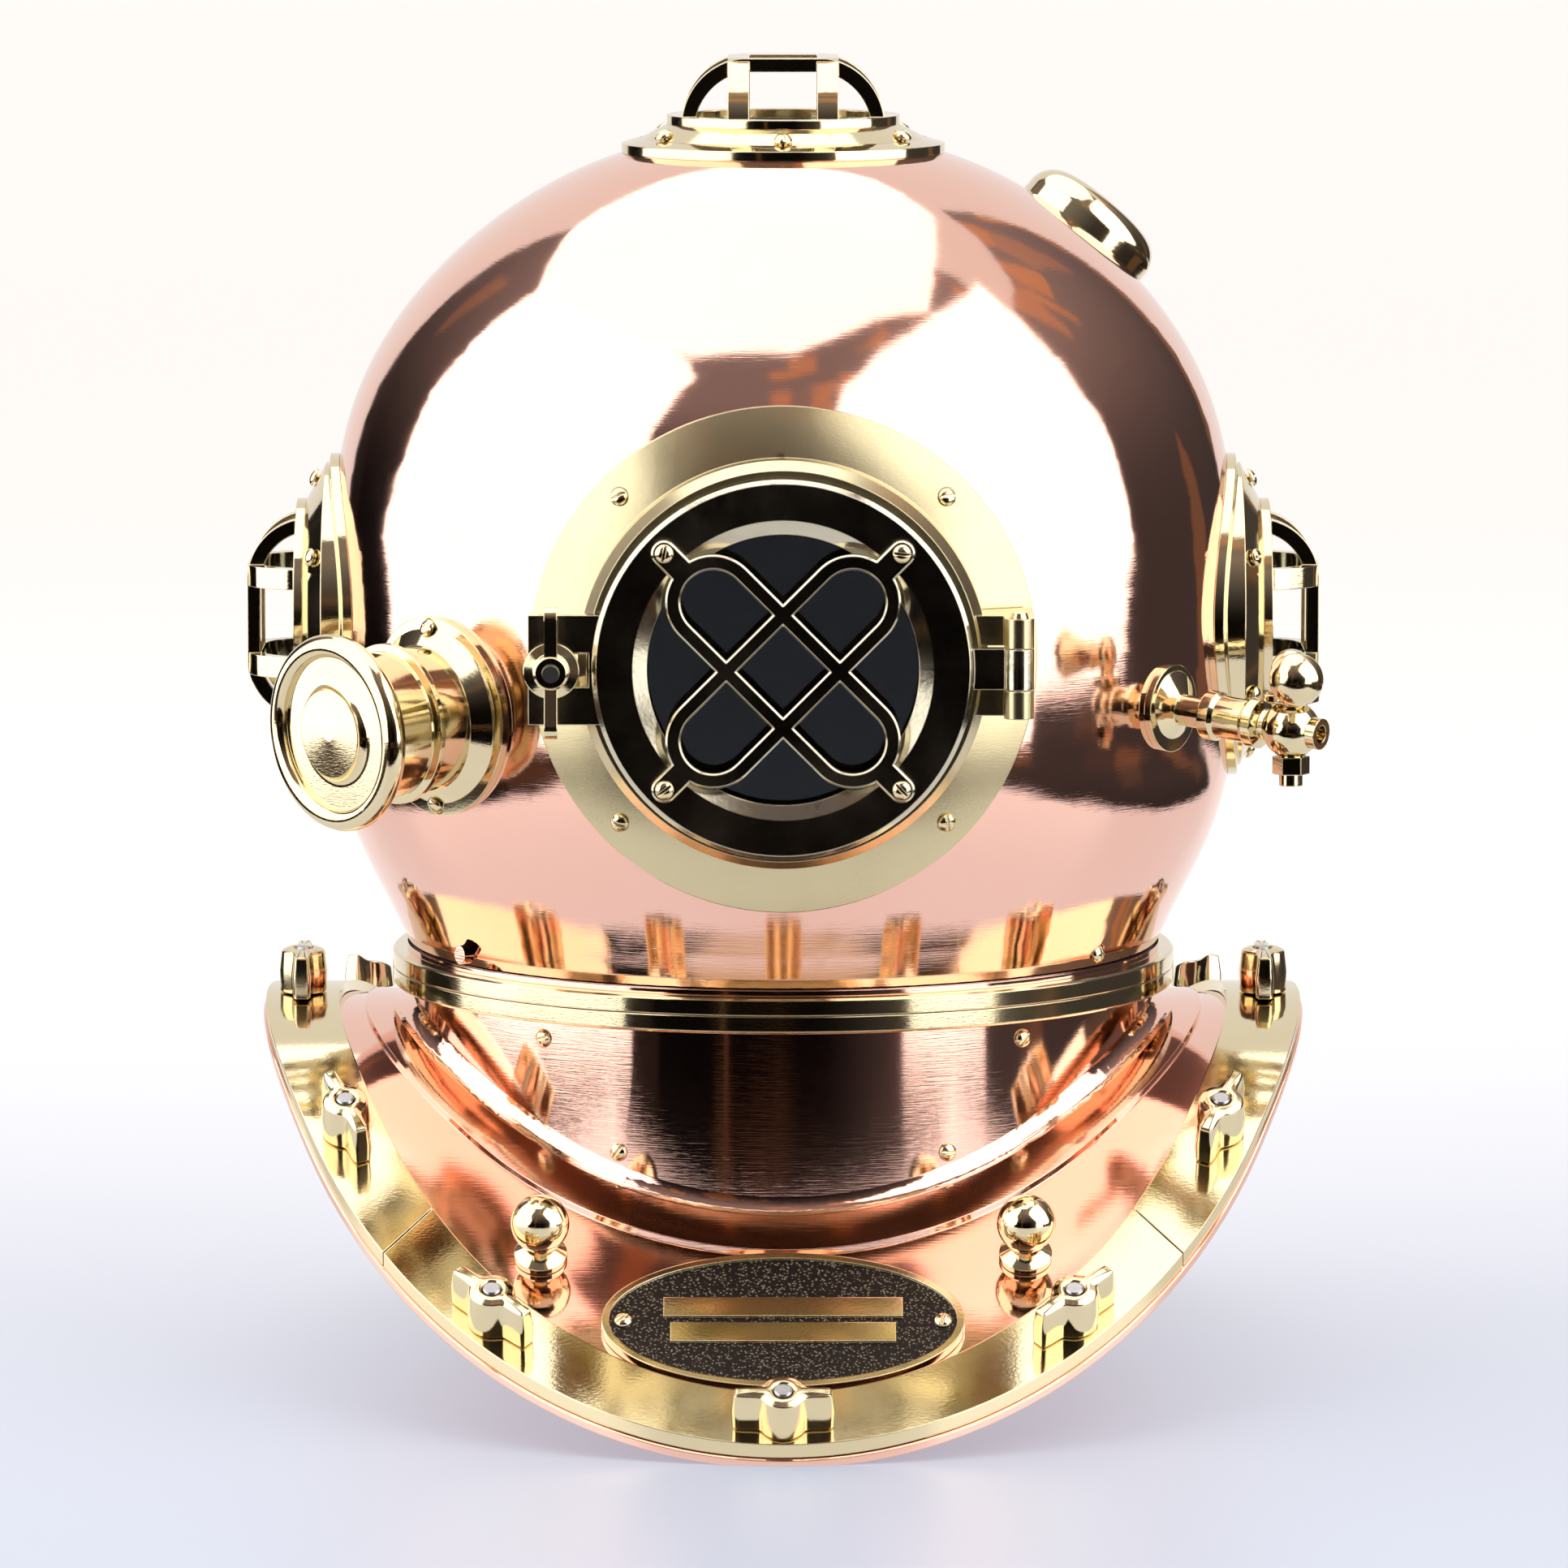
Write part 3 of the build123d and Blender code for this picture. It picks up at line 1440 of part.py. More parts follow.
def latch_bracket():
    # Two cheeks on a foot that is fixed to the bonnet's ring
    foot_top = bonnet_low_z
    made = None
    for side in (-1, 1):
        middle = side * (latch_wide / 2 + seat_gap + latch_cheek / 2)
        plan = Polyline(
            (0, collar_r - latch_root, foot_top),
            (0, latch_y + latch_eye_r, foot_top + latch_foot_rise),
            (0, latch_y + latch_eye_r, latch_pivot_z),
            (0, latch_y, latch_pivot_z + latch_eye_r),
            (0, collar_r - latch_root, latch_pivot_z + latch_eye_r),
            close=True,
        )
        cheek = extrude(make_face(plan), latch_cheek / 2, dir=(1, 0, 0), both=True)
        cheek = Location((middle, 0, 0)) * cheek
        made = cheek if made is None else made + cheek
    wide = latch_wide + 2 * seat_gap + 2 * latch_cheek
    bridge_top = latch_pivot_z + latch_eye_r
    bridge = Box(wide, latch_bridge_thick, bridge_top - foot_top)
    made += Location((0, collar_r - latch_bridge_in, (foot_top + bridge_top) / 2)) * bridge
    made -= bonnet_outside
    made -= ring(0, bonnet_lip_r + seat_gap, 0, bonnet_low_z + plate_wall + seat_gap)
    pin = Plane(origin=(0, latch_y, latch_pivot_z), x_dir=(0, 1, 0), z_dir=(1, 0, 0))
    made -= pin * disc(latch_pin_r + running_gap, -wide, wide)
    return made


def latch_pin():
    span = latch_wide / 2 + seat_gap + latch_cheek
    pin = Plane(origin=(0, latch_y, latch_pivot_z), x_dir=(0, 1, 0), z_dir=(1, 0, 0))
    return pin * disc(latch_pin_r, -span, span)


def rear_latch():
    # Shown lifted: the tongue stands straight out and drops into the ring's notch
    pin = Plane(origin=(0, latch_y, latch_pivot_z), x_dir=(0, 1, 0), z_dir=(1, 0, 0))
    half = latch_wide / 2
    eye = pin * disc(latch_eye_r, -half, half)
    low = latch_pivot_z - latch_eye_r
    blade = Box(latch_wide, latch_long, latch_thick)
    body = eye + Location((0, latch_y + latch_long / 2, low + latch_thick / 2)) * blade
    nib = Box(latch_wide - 2 * latch_nib_lap, latch_nib_long, latch_nib)
    nib_y = latch_y + latch_long - latch_nib_long / 2
    body += Location((0, nib_y, low - latch_nib / 2 + latch_nib_lap)) * nib
    return body - pin * disc(latch_pin_r + running_gap, -latch_wide, latch_wide)


# Breastplate trim


def nameplate():
    # An oval plate bent to the breastplate's slope, its two bars left blank
    place = plate_frame(0, plate_at_y)
    outer = Ellipse(plate_half_wide, plate_half_high)
    inner = Ellipse(plate_half_wide - plate_rim_wide, plate_half_high - plate_rim_wide)
    plate = extrude(outer, plate_body)
    plate += Location((0, 0, plate_body)) * extrude(outer - inner, plate_rim_high)
    for side, share in zip((1, -1), plate_bar_shares):
        wide = 2 * plate_half_wide * share
        bar = extrude(Rectangle(wide, plate_bar_high), plate_rim_high)
        shift = side * (plate_bar_high + plate_bar_gap) / 2
        plate += Location((0, shift, plate_body)) * bar
    plate = place * (Location((0, 0, seat_gap)) * plate)
    for spot in nameplate_screw_places():
        plate -= screw_hole(spot, screw_long + running_gap)
    return plate


def nameplate_screw_places():
    place = plate_frame(0, plate_at_y).location
    away = plate_half_wide * plate_screw_share
    return [place * Location((side * away, 0, plate_body + seat_gap)) for side in (-1, 1)]


def lashing_stud(side):
    body = turned(
        [
            (0, seat_gap),
            (lash_foot_r, seat_gap),
            (lash_foot_r, lash_foot_thick),
            (lash_neck_r, lash_foot_thick * 2),
            (lash_neck_r, lash_neck_high + lash_ball_r),
            (0, lash_neck_high + lash_ball_r),
        ]
    )
    ball_z = lash_neck_high + lash_ball_r * lash_ball_share
    ball = Location((0, 0, ball_z)) * Sphere(lash_ball_r)
    return plate_frame(side * lash_x, lash_y) * (body + ball)


def wall_screw_places(radius, places):
    # Screws that go level into a round wall, as turn from the front and height
    made = []
    for turn, z in places:
        place = looking_out(turn, 0, (0, 0, z))
        out = radius or reach(place, 0)
        made.append(place.location * Location((0, 0, out)))
    return made


def build():
    os.makedirs("parts", exist_ok=True)
    neck_places = wall_screw_places(neck_r, neck_screw_places)
    plate_screws = neck_places + nameplate_screw_places()
    shell = breastplate()
    for spot in plate_screws:
        shell -= screw_hole(spot, 2 * screw_long)
    for x, y, _ in rim_places():
        shell -= plate_frame(x, y) * disc(stud_r, -cut_over, 0)
    collar = neck_ring()
    for spot in neck_places:
        collar -= screw_hole(spot, screw_long + running_gap)
    save(shell, "breastplate_shell")
    save(collar, "neck_ring")
    save(neck_gasket(), "neck_gasket")
    for side, solid in straps().items():
        save(solid, f"{side}_rim_strap")
    save(rim_studs(), "rim_studs")
    nut = wing_nut()
    for k, (x, y, tangent) in enumerate(rim_places()):
        seat = Location((0, 0, strap_thick + 2 * seat_gap))
        save(plate_frame(x, y, tangent).location * seat * nut, f"wing_nut_{k + 1:02d}")
    save(nameplate(), "nameplate")
    save([lashing_stud(side) for side in (-1, 1)], "lashing_studs")
    save([screw(spot) for spot in plate_screws], "breastplate_screws")

    ports = {"top": top_frame, "left": left_frame, "right": right_frame}
    skirt_places = wall_screw_places(0, [(turn, skirt_screw_z) for turn in skirt_screw_turns])
    flange_places = front_screw_places() + exhaust_screw_places()
    holes = [port_hole(place, pane_r + seat_gap + plate_wall + seat_gap) for place in ports.values()]
    holes.append(port_hole(front_frame, front_bore_r))
    holes.append(exhaust_frame * disc(exhaust_seat_r + 2 * plate_wall, bonnet_r / 2, 2 * bonnet_r))
    holes.append(cup_frame * disc(receiver_r + seat_gap, bonnet_r / 2, 2 * bonnet_r))
    holes.append(cock_frame * disc(cock_bore_r, bonnet_r / 2, 2 * bonnet_r))
    for side in (-1, 1):
        holes.append(elbow_frame(side) * disc(elbow_bore_r, bonnet_r / 2, 2 * bonnet_r))
    for place in ports.values():
        flange_places += port_screw_places(place)
    for spot in skirt_places:
        holes.append(screw_hole(spot, 2 * screw_long))
    save(bonnet_shell(holes), "bonnet_shell")
    ring_solid = bonnet_ring()
    for spot in skirt_places:
        ring_solid -= screw_hole(spot, screw_long + running_gap)
    save(ring_solid, "bonnet_ring")
    for name, place in ports.items():
        save(port_frame(place), f"{name}_port_frame")
        rise = top_guard_rise if name == "top" else side_guard_rise
        save(port_guard(place, rise), f"{name}_port_guard")
        save(port_pane(place), f"{name}_port_glass")
    save([port_gasket(place) for place in ports.values()], "port_gaskets")
    bonnet_screws = [screw(spot) for spot in skirt_places]
    bonnet_screws += [screw(spot, flange_screw_long) for spot in flange_places]
    save(bonnet_screws, "bonnet_screws")

    save(front_port_frame(), "front_port_frame")
    save(door_gasket(), "door_gasket")
    save(door_ring(), "door_ring")
    save(door_glass(), "door_glass")
    save(door_grille(), "door_grille")
    save([screw(spot) for spot in grille_screw_places()], "door_screws")
    save(front_pins() + [latch_pin()], "hinge_pins")
    save(swing_bolt(), "swing_bolt")
    save(swing_nut(), "swing_bolt_nut")

    save(exhaust_body(), "exhaust_body")
    save(exhaust_wheel(), "exhaust_wheel")
    save(exhaust_stem(), "exhaust_stem")
    save(cock_body(), "spitcock_body")
    save(cock_lever(), "spitcock_lever")
    save(cock_nut(), "spitcock_nut")
    save(telephone_cup(), "telephone_cup")
    save(telephone_receiver(), "telephone_receiver")
    save(elbow(1), "air_elbow")
    save(elbow(-1), "telephone_elbow")
    valve, flap, spring = check_valve_parts()
    save(valve, "check_valve_body")
    save(flap, "check_valve_disc")
    save([exhaust_spring(), spring], "valve_springs")
    save(latch_bracket(), "latch_bracket")
    save(rear_latch(), "rear_latch")


build()
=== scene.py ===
import bpy
import bmesh
import json
import math
from mathutils import Matrix, Vector
from mathutils.geometry import tessellate_polygon


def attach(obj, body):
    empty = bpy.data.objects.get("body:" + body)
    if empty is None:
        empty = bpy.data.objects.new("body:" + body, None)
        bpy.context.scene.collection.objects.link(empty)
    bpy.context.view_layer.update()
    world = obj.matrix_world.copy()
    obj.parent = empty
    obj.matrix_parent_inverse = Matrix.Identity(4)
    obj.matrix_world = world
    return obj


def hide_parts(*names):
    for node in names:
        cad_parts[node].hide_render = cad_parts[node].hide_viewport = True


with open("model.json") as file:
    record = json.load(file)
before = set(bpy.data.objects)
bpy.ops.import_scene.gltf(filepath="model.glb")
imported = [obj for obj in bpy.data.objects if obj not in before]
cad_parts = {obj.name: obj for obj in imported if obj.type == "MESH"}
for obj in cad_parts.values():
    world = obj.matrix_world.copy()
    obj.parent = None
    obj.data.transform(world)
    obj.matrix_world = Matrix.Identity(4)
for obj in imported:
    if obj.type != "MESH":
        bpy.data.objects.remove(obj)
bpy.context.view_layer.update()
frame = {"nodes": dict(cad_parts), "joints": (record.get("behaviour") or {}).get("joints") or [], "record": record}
print("stage: frame loaded, %d nodes" % len(frame["nodes"]))

# The photographer's studio

studio = {
    "eye": (0.0003, -3.524, 0.632),  # where the camera stands
    "pitchDown": 6.98,
    "photoWidth": 1932,
    "focalPixels": 12400,
    "sensor": 36.0,
    "farthest": 50,
    "middle": (0.0, 0.0, 0.262),  # middle of the helmet
    "panelGlow": {"softLeft": 2.3, "softRight": 2.5, "softTop": 2.2},
    "panelTint": (1.0, 0.985, 0.97),
    "panelAway": 2.3,
    "backdrop": (0.905, 0.885, 0.872),
    "fill": 0.55,
}

# Each soft box is a lit sheet, its corners as azimuth from the front (+ is the
# viewer's right) and elevation, seen from the middle of the helmet
softBoxes = {
    "softLeft": [
        (-121, 47), (-100, 55), (-60, 60), (-37, 57), (-31, 52), (-38, 30), (-32, 14),
        (-37, 0), (-46, -7), (-46, -11.3), (-75, -11.6), (-106, -11.3), (-119, 0), (-114, 10), (-116, 29),
    ],
    "softRight": [
        (111, 56), (101, 45), (96, 29), (95, 12), (97, 0), (92, -5), (63, -6), (63, -11.4),
        (36, -11.3), (37, -4), (38, 7), (25, 22), (14, 38), (20, 49.5), (40, 59), (75, 62),
    ],
    "softTop": [
        (-120, 46), (-145, 44), (-161, 45), (-175, 44), (165, 49), (146, 54), (79, 63),
        (56, 68), (27, 66), (5, 62), (-37, 58), (-80, 56),
    ],
}


def newMaterial(name):
    material = bpy.data.materials.new(name)
    material.use_nodes = True
    tree = material.node_tree
    shader = tree.nodes["Principled BSDF"]
    return material, tree, shader


def addNode(tree, kind, **settings):
    node = tree.nodes.new(kind)
    for key, value in settings.items():
        setattr(node, key, value)
    return node


def feed(tree, socket, value):
    # A link for an output, or a plain value
    if hasattr(value, "links"):
        tree.links.new(value, socket)
    else:
        socket.default_value = value


def reckoned(tree, kind, *values):
    node = addNode(tree, "ShaderNodeMath", operation=kind)
    for socket, value in zip(node.inputs, values):
        feed(tree, socket, value)
    return node.outputs[0]


def dotted(tree, first, second):
    node = addNode(tree, "ShaderNodeVectorMath", operation="DOT_PRODUCT")
    feed(tree, node.inputs[0], first)
    feed(tree, node.inputs[1], second)
    return node.outputs["Value"]


def scaled(tree, place, scale):
    node = addNode(tree, "ShaderNodeMapping")
    node.inputs["Scale"].default_value = scale
    tree.links.new(place, node.inputs["Vector"])
    return node.outputs["Vector"]


def noise(tree, place, scale, detail, roughness=0.5):
    node = addNode(tree, "ShaderNodeTexNoise")
    node.inputs["Scale"].default_value = scale
    node.inputs["Detail"].default_value = detail
    node.inputs["Roughness"].default_value = roughness
    tree.links.new(place, node.inputs["Vector"])
    return node.outputs["Fac"]


def mapped(tree, value, before, after=(0.0, 1.0), curve="LINEAR"):
    node = addNode(tree, "ShaderNodeMapRange", interpolation_type=curve)
    node.inputs["From Min"].default_value, node.inputs["From Max"].default_value = before
    node.inputs["To Min"].default_value, node.inputs["To Max"].default_value = after
    tree.links.new(value, node.inputs["Value"])
    return node.outputs["Result"]


def mixed(tree, factor, first, second):
    # Of two colours, or of two plain values
    colour = isinstance(second, tuple) or (hasattr(second, "type") and second.type == "RGBA")
    node = addNode(tree, "ShaderNodeMix", data_type="RGBA" if colour else "FLOAT")
    low, high, out = (6, 7, 2) if colour else (2, 3, 0)
    tree.links.new(factor, node.inputs["Factor"])
    for port, value in ((low, first), (high, second)):
        feed(tree, node.inputs[port], (*value, 1) if isinstance(value, tuple) else value)
    return node.outputs[out]


def bumped(tree, height, strength, distance, normal=None):
    node = addNode(tree, "ShaderNodeBump")
    node.inputs["Strength"].default_value = strength
    node.inputs["Distance"].default_value = distance
    tree.links.new(height, node.inputs["Height"])
    if normal:
        tree.links.new(normal, node.inputs["Normal"])
    return node.outputs["Normal"]


def source(shader, socket):
    return shader.inputs[socket].links[0].from_socket


def setCamera():
    camera = bpy.data.cameras.new("photoCamera")
    camera.sensor_width = studio["sensor"]
    camera.lens = studio["sensor"] * studio["focalPixels"] / studio["photoWidth"]
    camera.clip_end = studio["farthest"]
    holder = bpy.data.objects.new("photoCamera", camera)
    holder.location = studio["eye"]
    holder.rotation_euler = (math.radians(90 - studio["pitchDown"]), 0, 0)
    bpy.context.collection.objects.link(holder)
    bpy.context.scene.camera = holder


def aimed(azimuth, elevation):
    a = math.radians(azimuth)
    e = math.radians(elevation)
    return Vector((math.sin(a) * math.cos(e), -math.cos(a) * math.cos(e), math.sin(e)))


def hangSoftBox(name, corners):
    middle = Vector(studio["middle"])
    rays = [aimed(*corner) for corner in corners]
    heart = sum(rays, Vector()).normalized()
    side = heart.orthogonal().normalized()
    other = heart.cross(side)
    flat = []
    for ray in rays:
        spread = heart.angle(ray) / max(math.sin(heart.angle(ray)), 1e-6)
        flat.append(Vector((ray.dot(side) * spread, ray.dot(other) * spread, 0)))
    triangles = tessellate_polygon([flat])
    verts = [middle + ray * studio["panelAway"] for ray in rays]
    sheet = meshObject(name, verts, [tuple(t) for t in triangles])
    material, tree, shader = newMaterial(name + "Glow")
    shader.inputs["Base Color"].default_value = (0, 0, 0, 1)
    shader.inputs["Specular IOR Level"].default_value = 0.0
    shader.inputs["Emission Color"].default_value = (*studio["panelTint"], 1)
    shader.inputs["Emission Strength"].default_value = studio["panelGlow"][name]
    sheet.data.materials.append(material)
    sheet.visible_camera = False
    sheet.visible_shadow = False


def paintBackdrop():
    # White for the eye, the metal and the glass, weaker as a light
    world = bpy.data.worlds.new("studioAir")
    world.use_nodes = True
    bpy.context.scene.world = world
    tree = world.node_tree
    tree.nodes.clear()
    out = addNode(tree, "ShaderNodeOutputWorld")
    airs = []
    for strength in (studio["fill"], 1.0):
        air = addNode(tree, "ShaderNodeBackground")
        air.inputs["Color"].default_value = (*studio["backdrop"], 1)
        air.inputs["Strength"].default_value = strength
        airs.append(air.outputs[0])
    path = addNode(tree, "ShaderNodeLightPath").outputs
    direct = reckoned(tree, "MAXIMUM", path["Is Camera Ray"], path["Is Glossy Ray"])
    mix = addNode(tree, "ShaderNodeMixShader")
    tree.links.new(reckoned(tree, "MAXIMUM", direct, path["Is Transmission Ray"]), mix.inputs["Fac"])
    tree.links.new(airs[0], mix.inputs[1])
    tree.links.new(airs[1], mix.inputs[2])
    tree.links.new(mix.outputs[0], out.inputs["Surface"])


def meshObject(name, verts, faces):
    mesh = bpy.data.meshes.new(name)
    mesh.from_pydata(verts, [], faces)
    mesh.update()
    thing = bpy.data.objects.new(name, mesh)
    bpy.context.collection.objects.link(thing)
    return thing


table = {
    "seen": (-30.0, 30.0, -6.0, 60.0),  # left, right, front and back as the eye sees it
    "mirrored": (-0.62, 0.62, -0.52, 7.0),  # and as the metal does
    "colour": (0.30, 0.305, 0.325),
    "roughness": 0.38,
    "shine": 0.25,
    "below": 0.001,  # the mirrored sheet under the seen one
    "near": (0.24, 0.275, 0.365),  # painted glow standing in for the light on the table, near and far
    "far": (0.66, 0.62, 0.585),
    "fade": (-0.45, 1.5),
    # the painted glow of the mirrored sheet near the eye, seen only in the metal
    "paintedGlowInMetal": (0.76, 0.75, 0.75),
}


def layTable():
    for name in ("seen", "mirrored"):
        seen = name == "seen"
        x0, x1, y0, y1 = table[name]
        z = 0.0 if seen else -table["below"]
        corners = [(x0, y0, z), (x1, y0, z), (x1, y1, z), (x0, y1, z)]
        top = meshObject(name + "Table", corners, [(0, 1, 2, 3)])
        top.data.materials.append(paintedGlowTable(name))
        top.visible_glossy = not seen
        top.visible_camera = seen
        top.visible_diffuse = seen
        top.visible_shadow = seen


def paintedGlowTable(name):
    material, tree, shader = newMaterial(name + "Gloss")
    shader.inputs["Base Color"].default_value = (*table["colour"], 1)
    shader.inputs["Roughness"].default_value = table["roughness"]
    shader.inputs["Specular IOR Level"].default_value = table["shine"]
    split = addNode(tree, "ShaderNodeSeparateXYZ")
    tree.links.new(addNode(tree, "ShaderNodeTexCoord").outputs["Object"], split.inputs[0])
    # Painted light: the sheet glows dim and bluish near the eye and brighter further back; the mirrored sheet
    # glows paler, for the metal to see
    fade = mapped(tree, split.outputs["Y"], table["fade"], curve="SMOOTHSTEP")
    near = table["near" if name == "seen" else "paintedGlowInMetal"]
    tree.links.new(mixed(tree, fade, near, table["far"]), shader.inputs["Emission Color"])
    shader.inputs["Emission Strength"].default_value = 1.0
    return material


darkRoom = {
    "radius": 4.6,
    "low": -0.6,
    "high": 5.5,
    "ceilingBack": 1.2,
    "floorBack": 3.0,
    "from": -146,
    "to": 151,
    "steps": 48,
    "colour": (1.0, 0.86, 0.84),
    "warm": (1.9, 1.05, 0.6),
    "lowGlow": 0.003,
    "highGlow": 0.24,
    "warmLow": 0.04,
    "rightGlow": 0.05,
    "rightFrom": (0.8, 3.0),
    "blockScale": 1.6,
    "blockTall": (1.0, 1.0, 0.35),
    "blockPick": (0.72, 0.80),
}


def unlitRoom():
    # Nearly black, with a few warm things in it, lighter towards its ceiling and on its right
    material, tree, shader = newMaterial("unlitRoom")
    shader.inputs["Base Color"].default_value = (0, 0, 0, 1)
    shader.inputs["Specular IOR Level"].default_value = 0.0
    place = addNode(tree, "ShaderNodeTexCoord").outputs["Object"]
    blocks = addNode(tree, "ShaderNodeTexVoronoi")
    blocks.inputs["Scale"].default_value = darkRoom["blockScale"]
    tree.links.new(scaled(tree, place, darkRoom["blockTall"]), blocks.inputs["Vector"])
    pick = addNode(tree, "ShaderNodeSeparateColor")
    tree.links.new(blocks.outputs["Color"], pick.inputs[0])
    warm = mapped(tree, pick.outputs[0], darkRoom["blockPick"])
    shade = mixed(tree, warm, darkRoom["colour"], darkRoom["warm"])
    tree.links.new(shade, shader.inputs["Emission Color"])
    split = addNode(tree, "ShaderNodeSeparateXYZ")
    tree.links.new(place, split.inputs[0])
    glows = (darkRoom["lowGlow"], darkRoom["highGlow"])
    rise = mapped(tree, split.outputs["Z"], (0.0, darkRoom["high"]), glows, "SMOOTHSTEP")
    glows = (0.0, darkRoom["rightGlow"])
    right = mapped(tree, split.outputs["X"], darkRoom["rightFrom"], glows, "SMOOTHSTEP")
    both = reckoned(tree, "ADD", rise, right)
    lamp = reckoned(tree, "MULTIPLY_ADD", warm, darkRoom["warmLow"], both)
    tree.links.new(lamp, shader.inputs["Emission Strength"])
    return material


def hangDarkRoom():
    # The unlit room behind the camera, seen only in the metal
    verts = []
    faces = []
    steps = darkRoom["steps"]
    r, low, high = darkRoom["radius"], darkRoom["low"], darkRoom["high"]
    for k in range(steps + 1):
        a = math.radians(darkRoom["from"] + (darkRoom["to"] - darkRoom["from"]) * k / steps)
        for z in (low, high):
            verts.append((math.sin(a) * r, -math.cos(a) * r, z))
        if k:
            n = 2 * k
            faces.append((n - 2, n - 1, n + 1, n))
    things = [meshObject("darkRoom", verts, faces)]
    lids = (("darkCeiling", high, darkRoom["ceilingBack"]), ("darkFloor", low, darkRoom["floorBack"]))
    for name, z, back in lids:
        corners = [(-r, -r, z), (r, -r, z), (r, back, z), (-r, back, z)]
        things.append(meshObject(name, corners, [(0, 1, 2, 3)]))
    material = unlitRoom()
    for thing in things:
        thing.data.materials.append(material)
        thing.visible_camera = False
        thing.visible_diffuse = False
        thing.visible_shadow = False


bpy.context.scene.view_settings.view_transform = "Standard"
setCamera()
for boxName, boxCorners in softBoxes.items():
    hangSoftBox(boxName, boxCorners)
paintBackdrop()
layTable()
hangDarkRoom()
print("stage: studio set")

# Finishes


buffing = {
    "lineDetail": 3.0,
    "smearDetail": 5.0,
    "smearRough": 0.6,
    "smearSpan": (0.35, 0.75),
    "stainDetail": 8.0,
    "stainRough": 0.75,
    "stainSpan": 0.10,
    "waveDetail": 2.0,
    "scratchDeep": 0.0001,
    "edgeSamples": 6,
}


def polishedMetal(name, look):
    # Buffed metal: fine brush lines, a slow waviness and a few stains
    material, tree, shader = newMaterial(name)
    shader.inputs["Metallic"].default_value = 1.0
    b = buffing
    place = addNode(tree, "ShaderNodeTexCoord").outputs["Object"]
    lines = noise(tree, scaled(tree, place, look["brushScale"]), look["brushFine"], b["lineDetail"])
    smear = noise(tree, place, look["smearScale"], b["smearDetail"], b["smearRough"])
    gloss = mapped(tree, smear, b["smearSpan"], (look["roughLow"], look["roughHigh"]))
    streak = reckoned(tree, "MULTIPLY_ADD", lines, look["streak"], gloss)
    tree.links.new(streak, shader.inputs["Roughness"])
    spots = noise(tree, place, look["stainScale"], b["stainDetail"], b["stainRough"])
    span = (look["stainFrom"], look["stainFrom"] + b["stainSpan"])
    mask = mapped(tree, spots, span, (0.0, look["stainAmount"]))
    clean = mixed(tree, smear, look["colour"], look["warm"])
    tree.links.new(mixed(tree, mask, clean, look["stain"]), shader.inputs["Base Color"])
    soft = addNode(tree, "ShaderNodeBevel", samples=b["edgeSamples"])
    soft.inputs["Radius"].default_value = look["edge"]
    wave = noise(tree, place, look["waveScale"], b["waveDetail"])
    rise = bumped(tree, wave, look["waveStrength"], look["waveDeep"], soft.outputs["Normal"])
    scratch = bumped(tree, lines, look["scratchStrength"], b["scratchDeep"], rise)
    tree.links.new(scratch, shader.inputs["Normal"])
    return material


finishes = {
    "copper": {
        "colour": (0.93, 0.60, 0.50),
        "warm": (0.91, 0.52, 0.40),
        "stain": (0.45, 0.20, 0.12),
        "brushScale": (1.0, 1.0, 26.0),
        "brushFine": 90.0,
        "smearScale": 9.0,
        "roughLow": 0.03,
        "roughHigh": 0.09,
        "streak": 0.03,
        "stainScale": 14.0,
        "stainFrom": 0.70,
        "stainAmount": 0.55,
        "waveScale": 7.0,
        "waveStrength": 0.35,
        "waveDeep": 0.0009,
        "scratchStrength": 0.12,
        "edge": 0.0005,
    },
    "brass": {
        "colour": (0.80, 0.70, 0.47),
        "warm": (0.74, 0.61, 0.37),
        "stain": (0.40, 0.27, 0.10),
        "brushScale": (6.0, 1.0, 18.0),
        "brushFine": 110.0,
        "smearScale": 18.0,
        "roughLow": 0.04,
        "roughHigh": 0.12,
        "streak": 0.04,
        "stainScale": 40.0,
        "stainFrom": 0.68,
        "stainAmount": 0.5,
        "waveScale": 26.0,
        "waveStrength": 0.3,
        "waveDeep": 0.0003,
        "scratchStrength": 0.14,
        "edge": 0.0006,
    },
    "darkBrass": {
        "colour": (0.66, 0.61, 0.48),
        "warm": (0.58, 0.52, 0.38),
        "stain": (0.10, 0.07, 0.05),
        "brushScale": (8.0, 1.0, 8.0),
        "brushFine": 90.0,
        "smearScale": 26.0,
        "roughLow": 0.08,
        "roughHigh": 0.22,
        "streak": 0.05,
        "stainScale": 30.0,
        "stainFrom": 0.58,
        "stainAmount": 0.7,
        "waveScale": 40.0,
        "waveStrength": 0.3,
        "waveDeep": 0.0003,
        "scratchStrength": 0.2,
        "edge": 0.0006,
    },
}

finishes["castBrass"] = dict(
    finishes["brass"], roughHigh=0.2, waveScale=90.0, waveDeep=0.00025
)
finishes["satinBrass"] = dict(
    finishes["brass"], colour=(0.70, 0.61, 0.39), warm=(0.63, 0.53, 0.31), roughLow=0.20, roughHigh=0.28
)
metals = {name: polishedMetal(name, look) for name, look in finishes.items()}


insideShadePaint = {
    "middle": (0.0, 0.0, 0.262),
    # near black: painted shade for the inside of the shell
    "colour": (0.010, 0.005, 0.004),
    "roughness": 0.8,
}


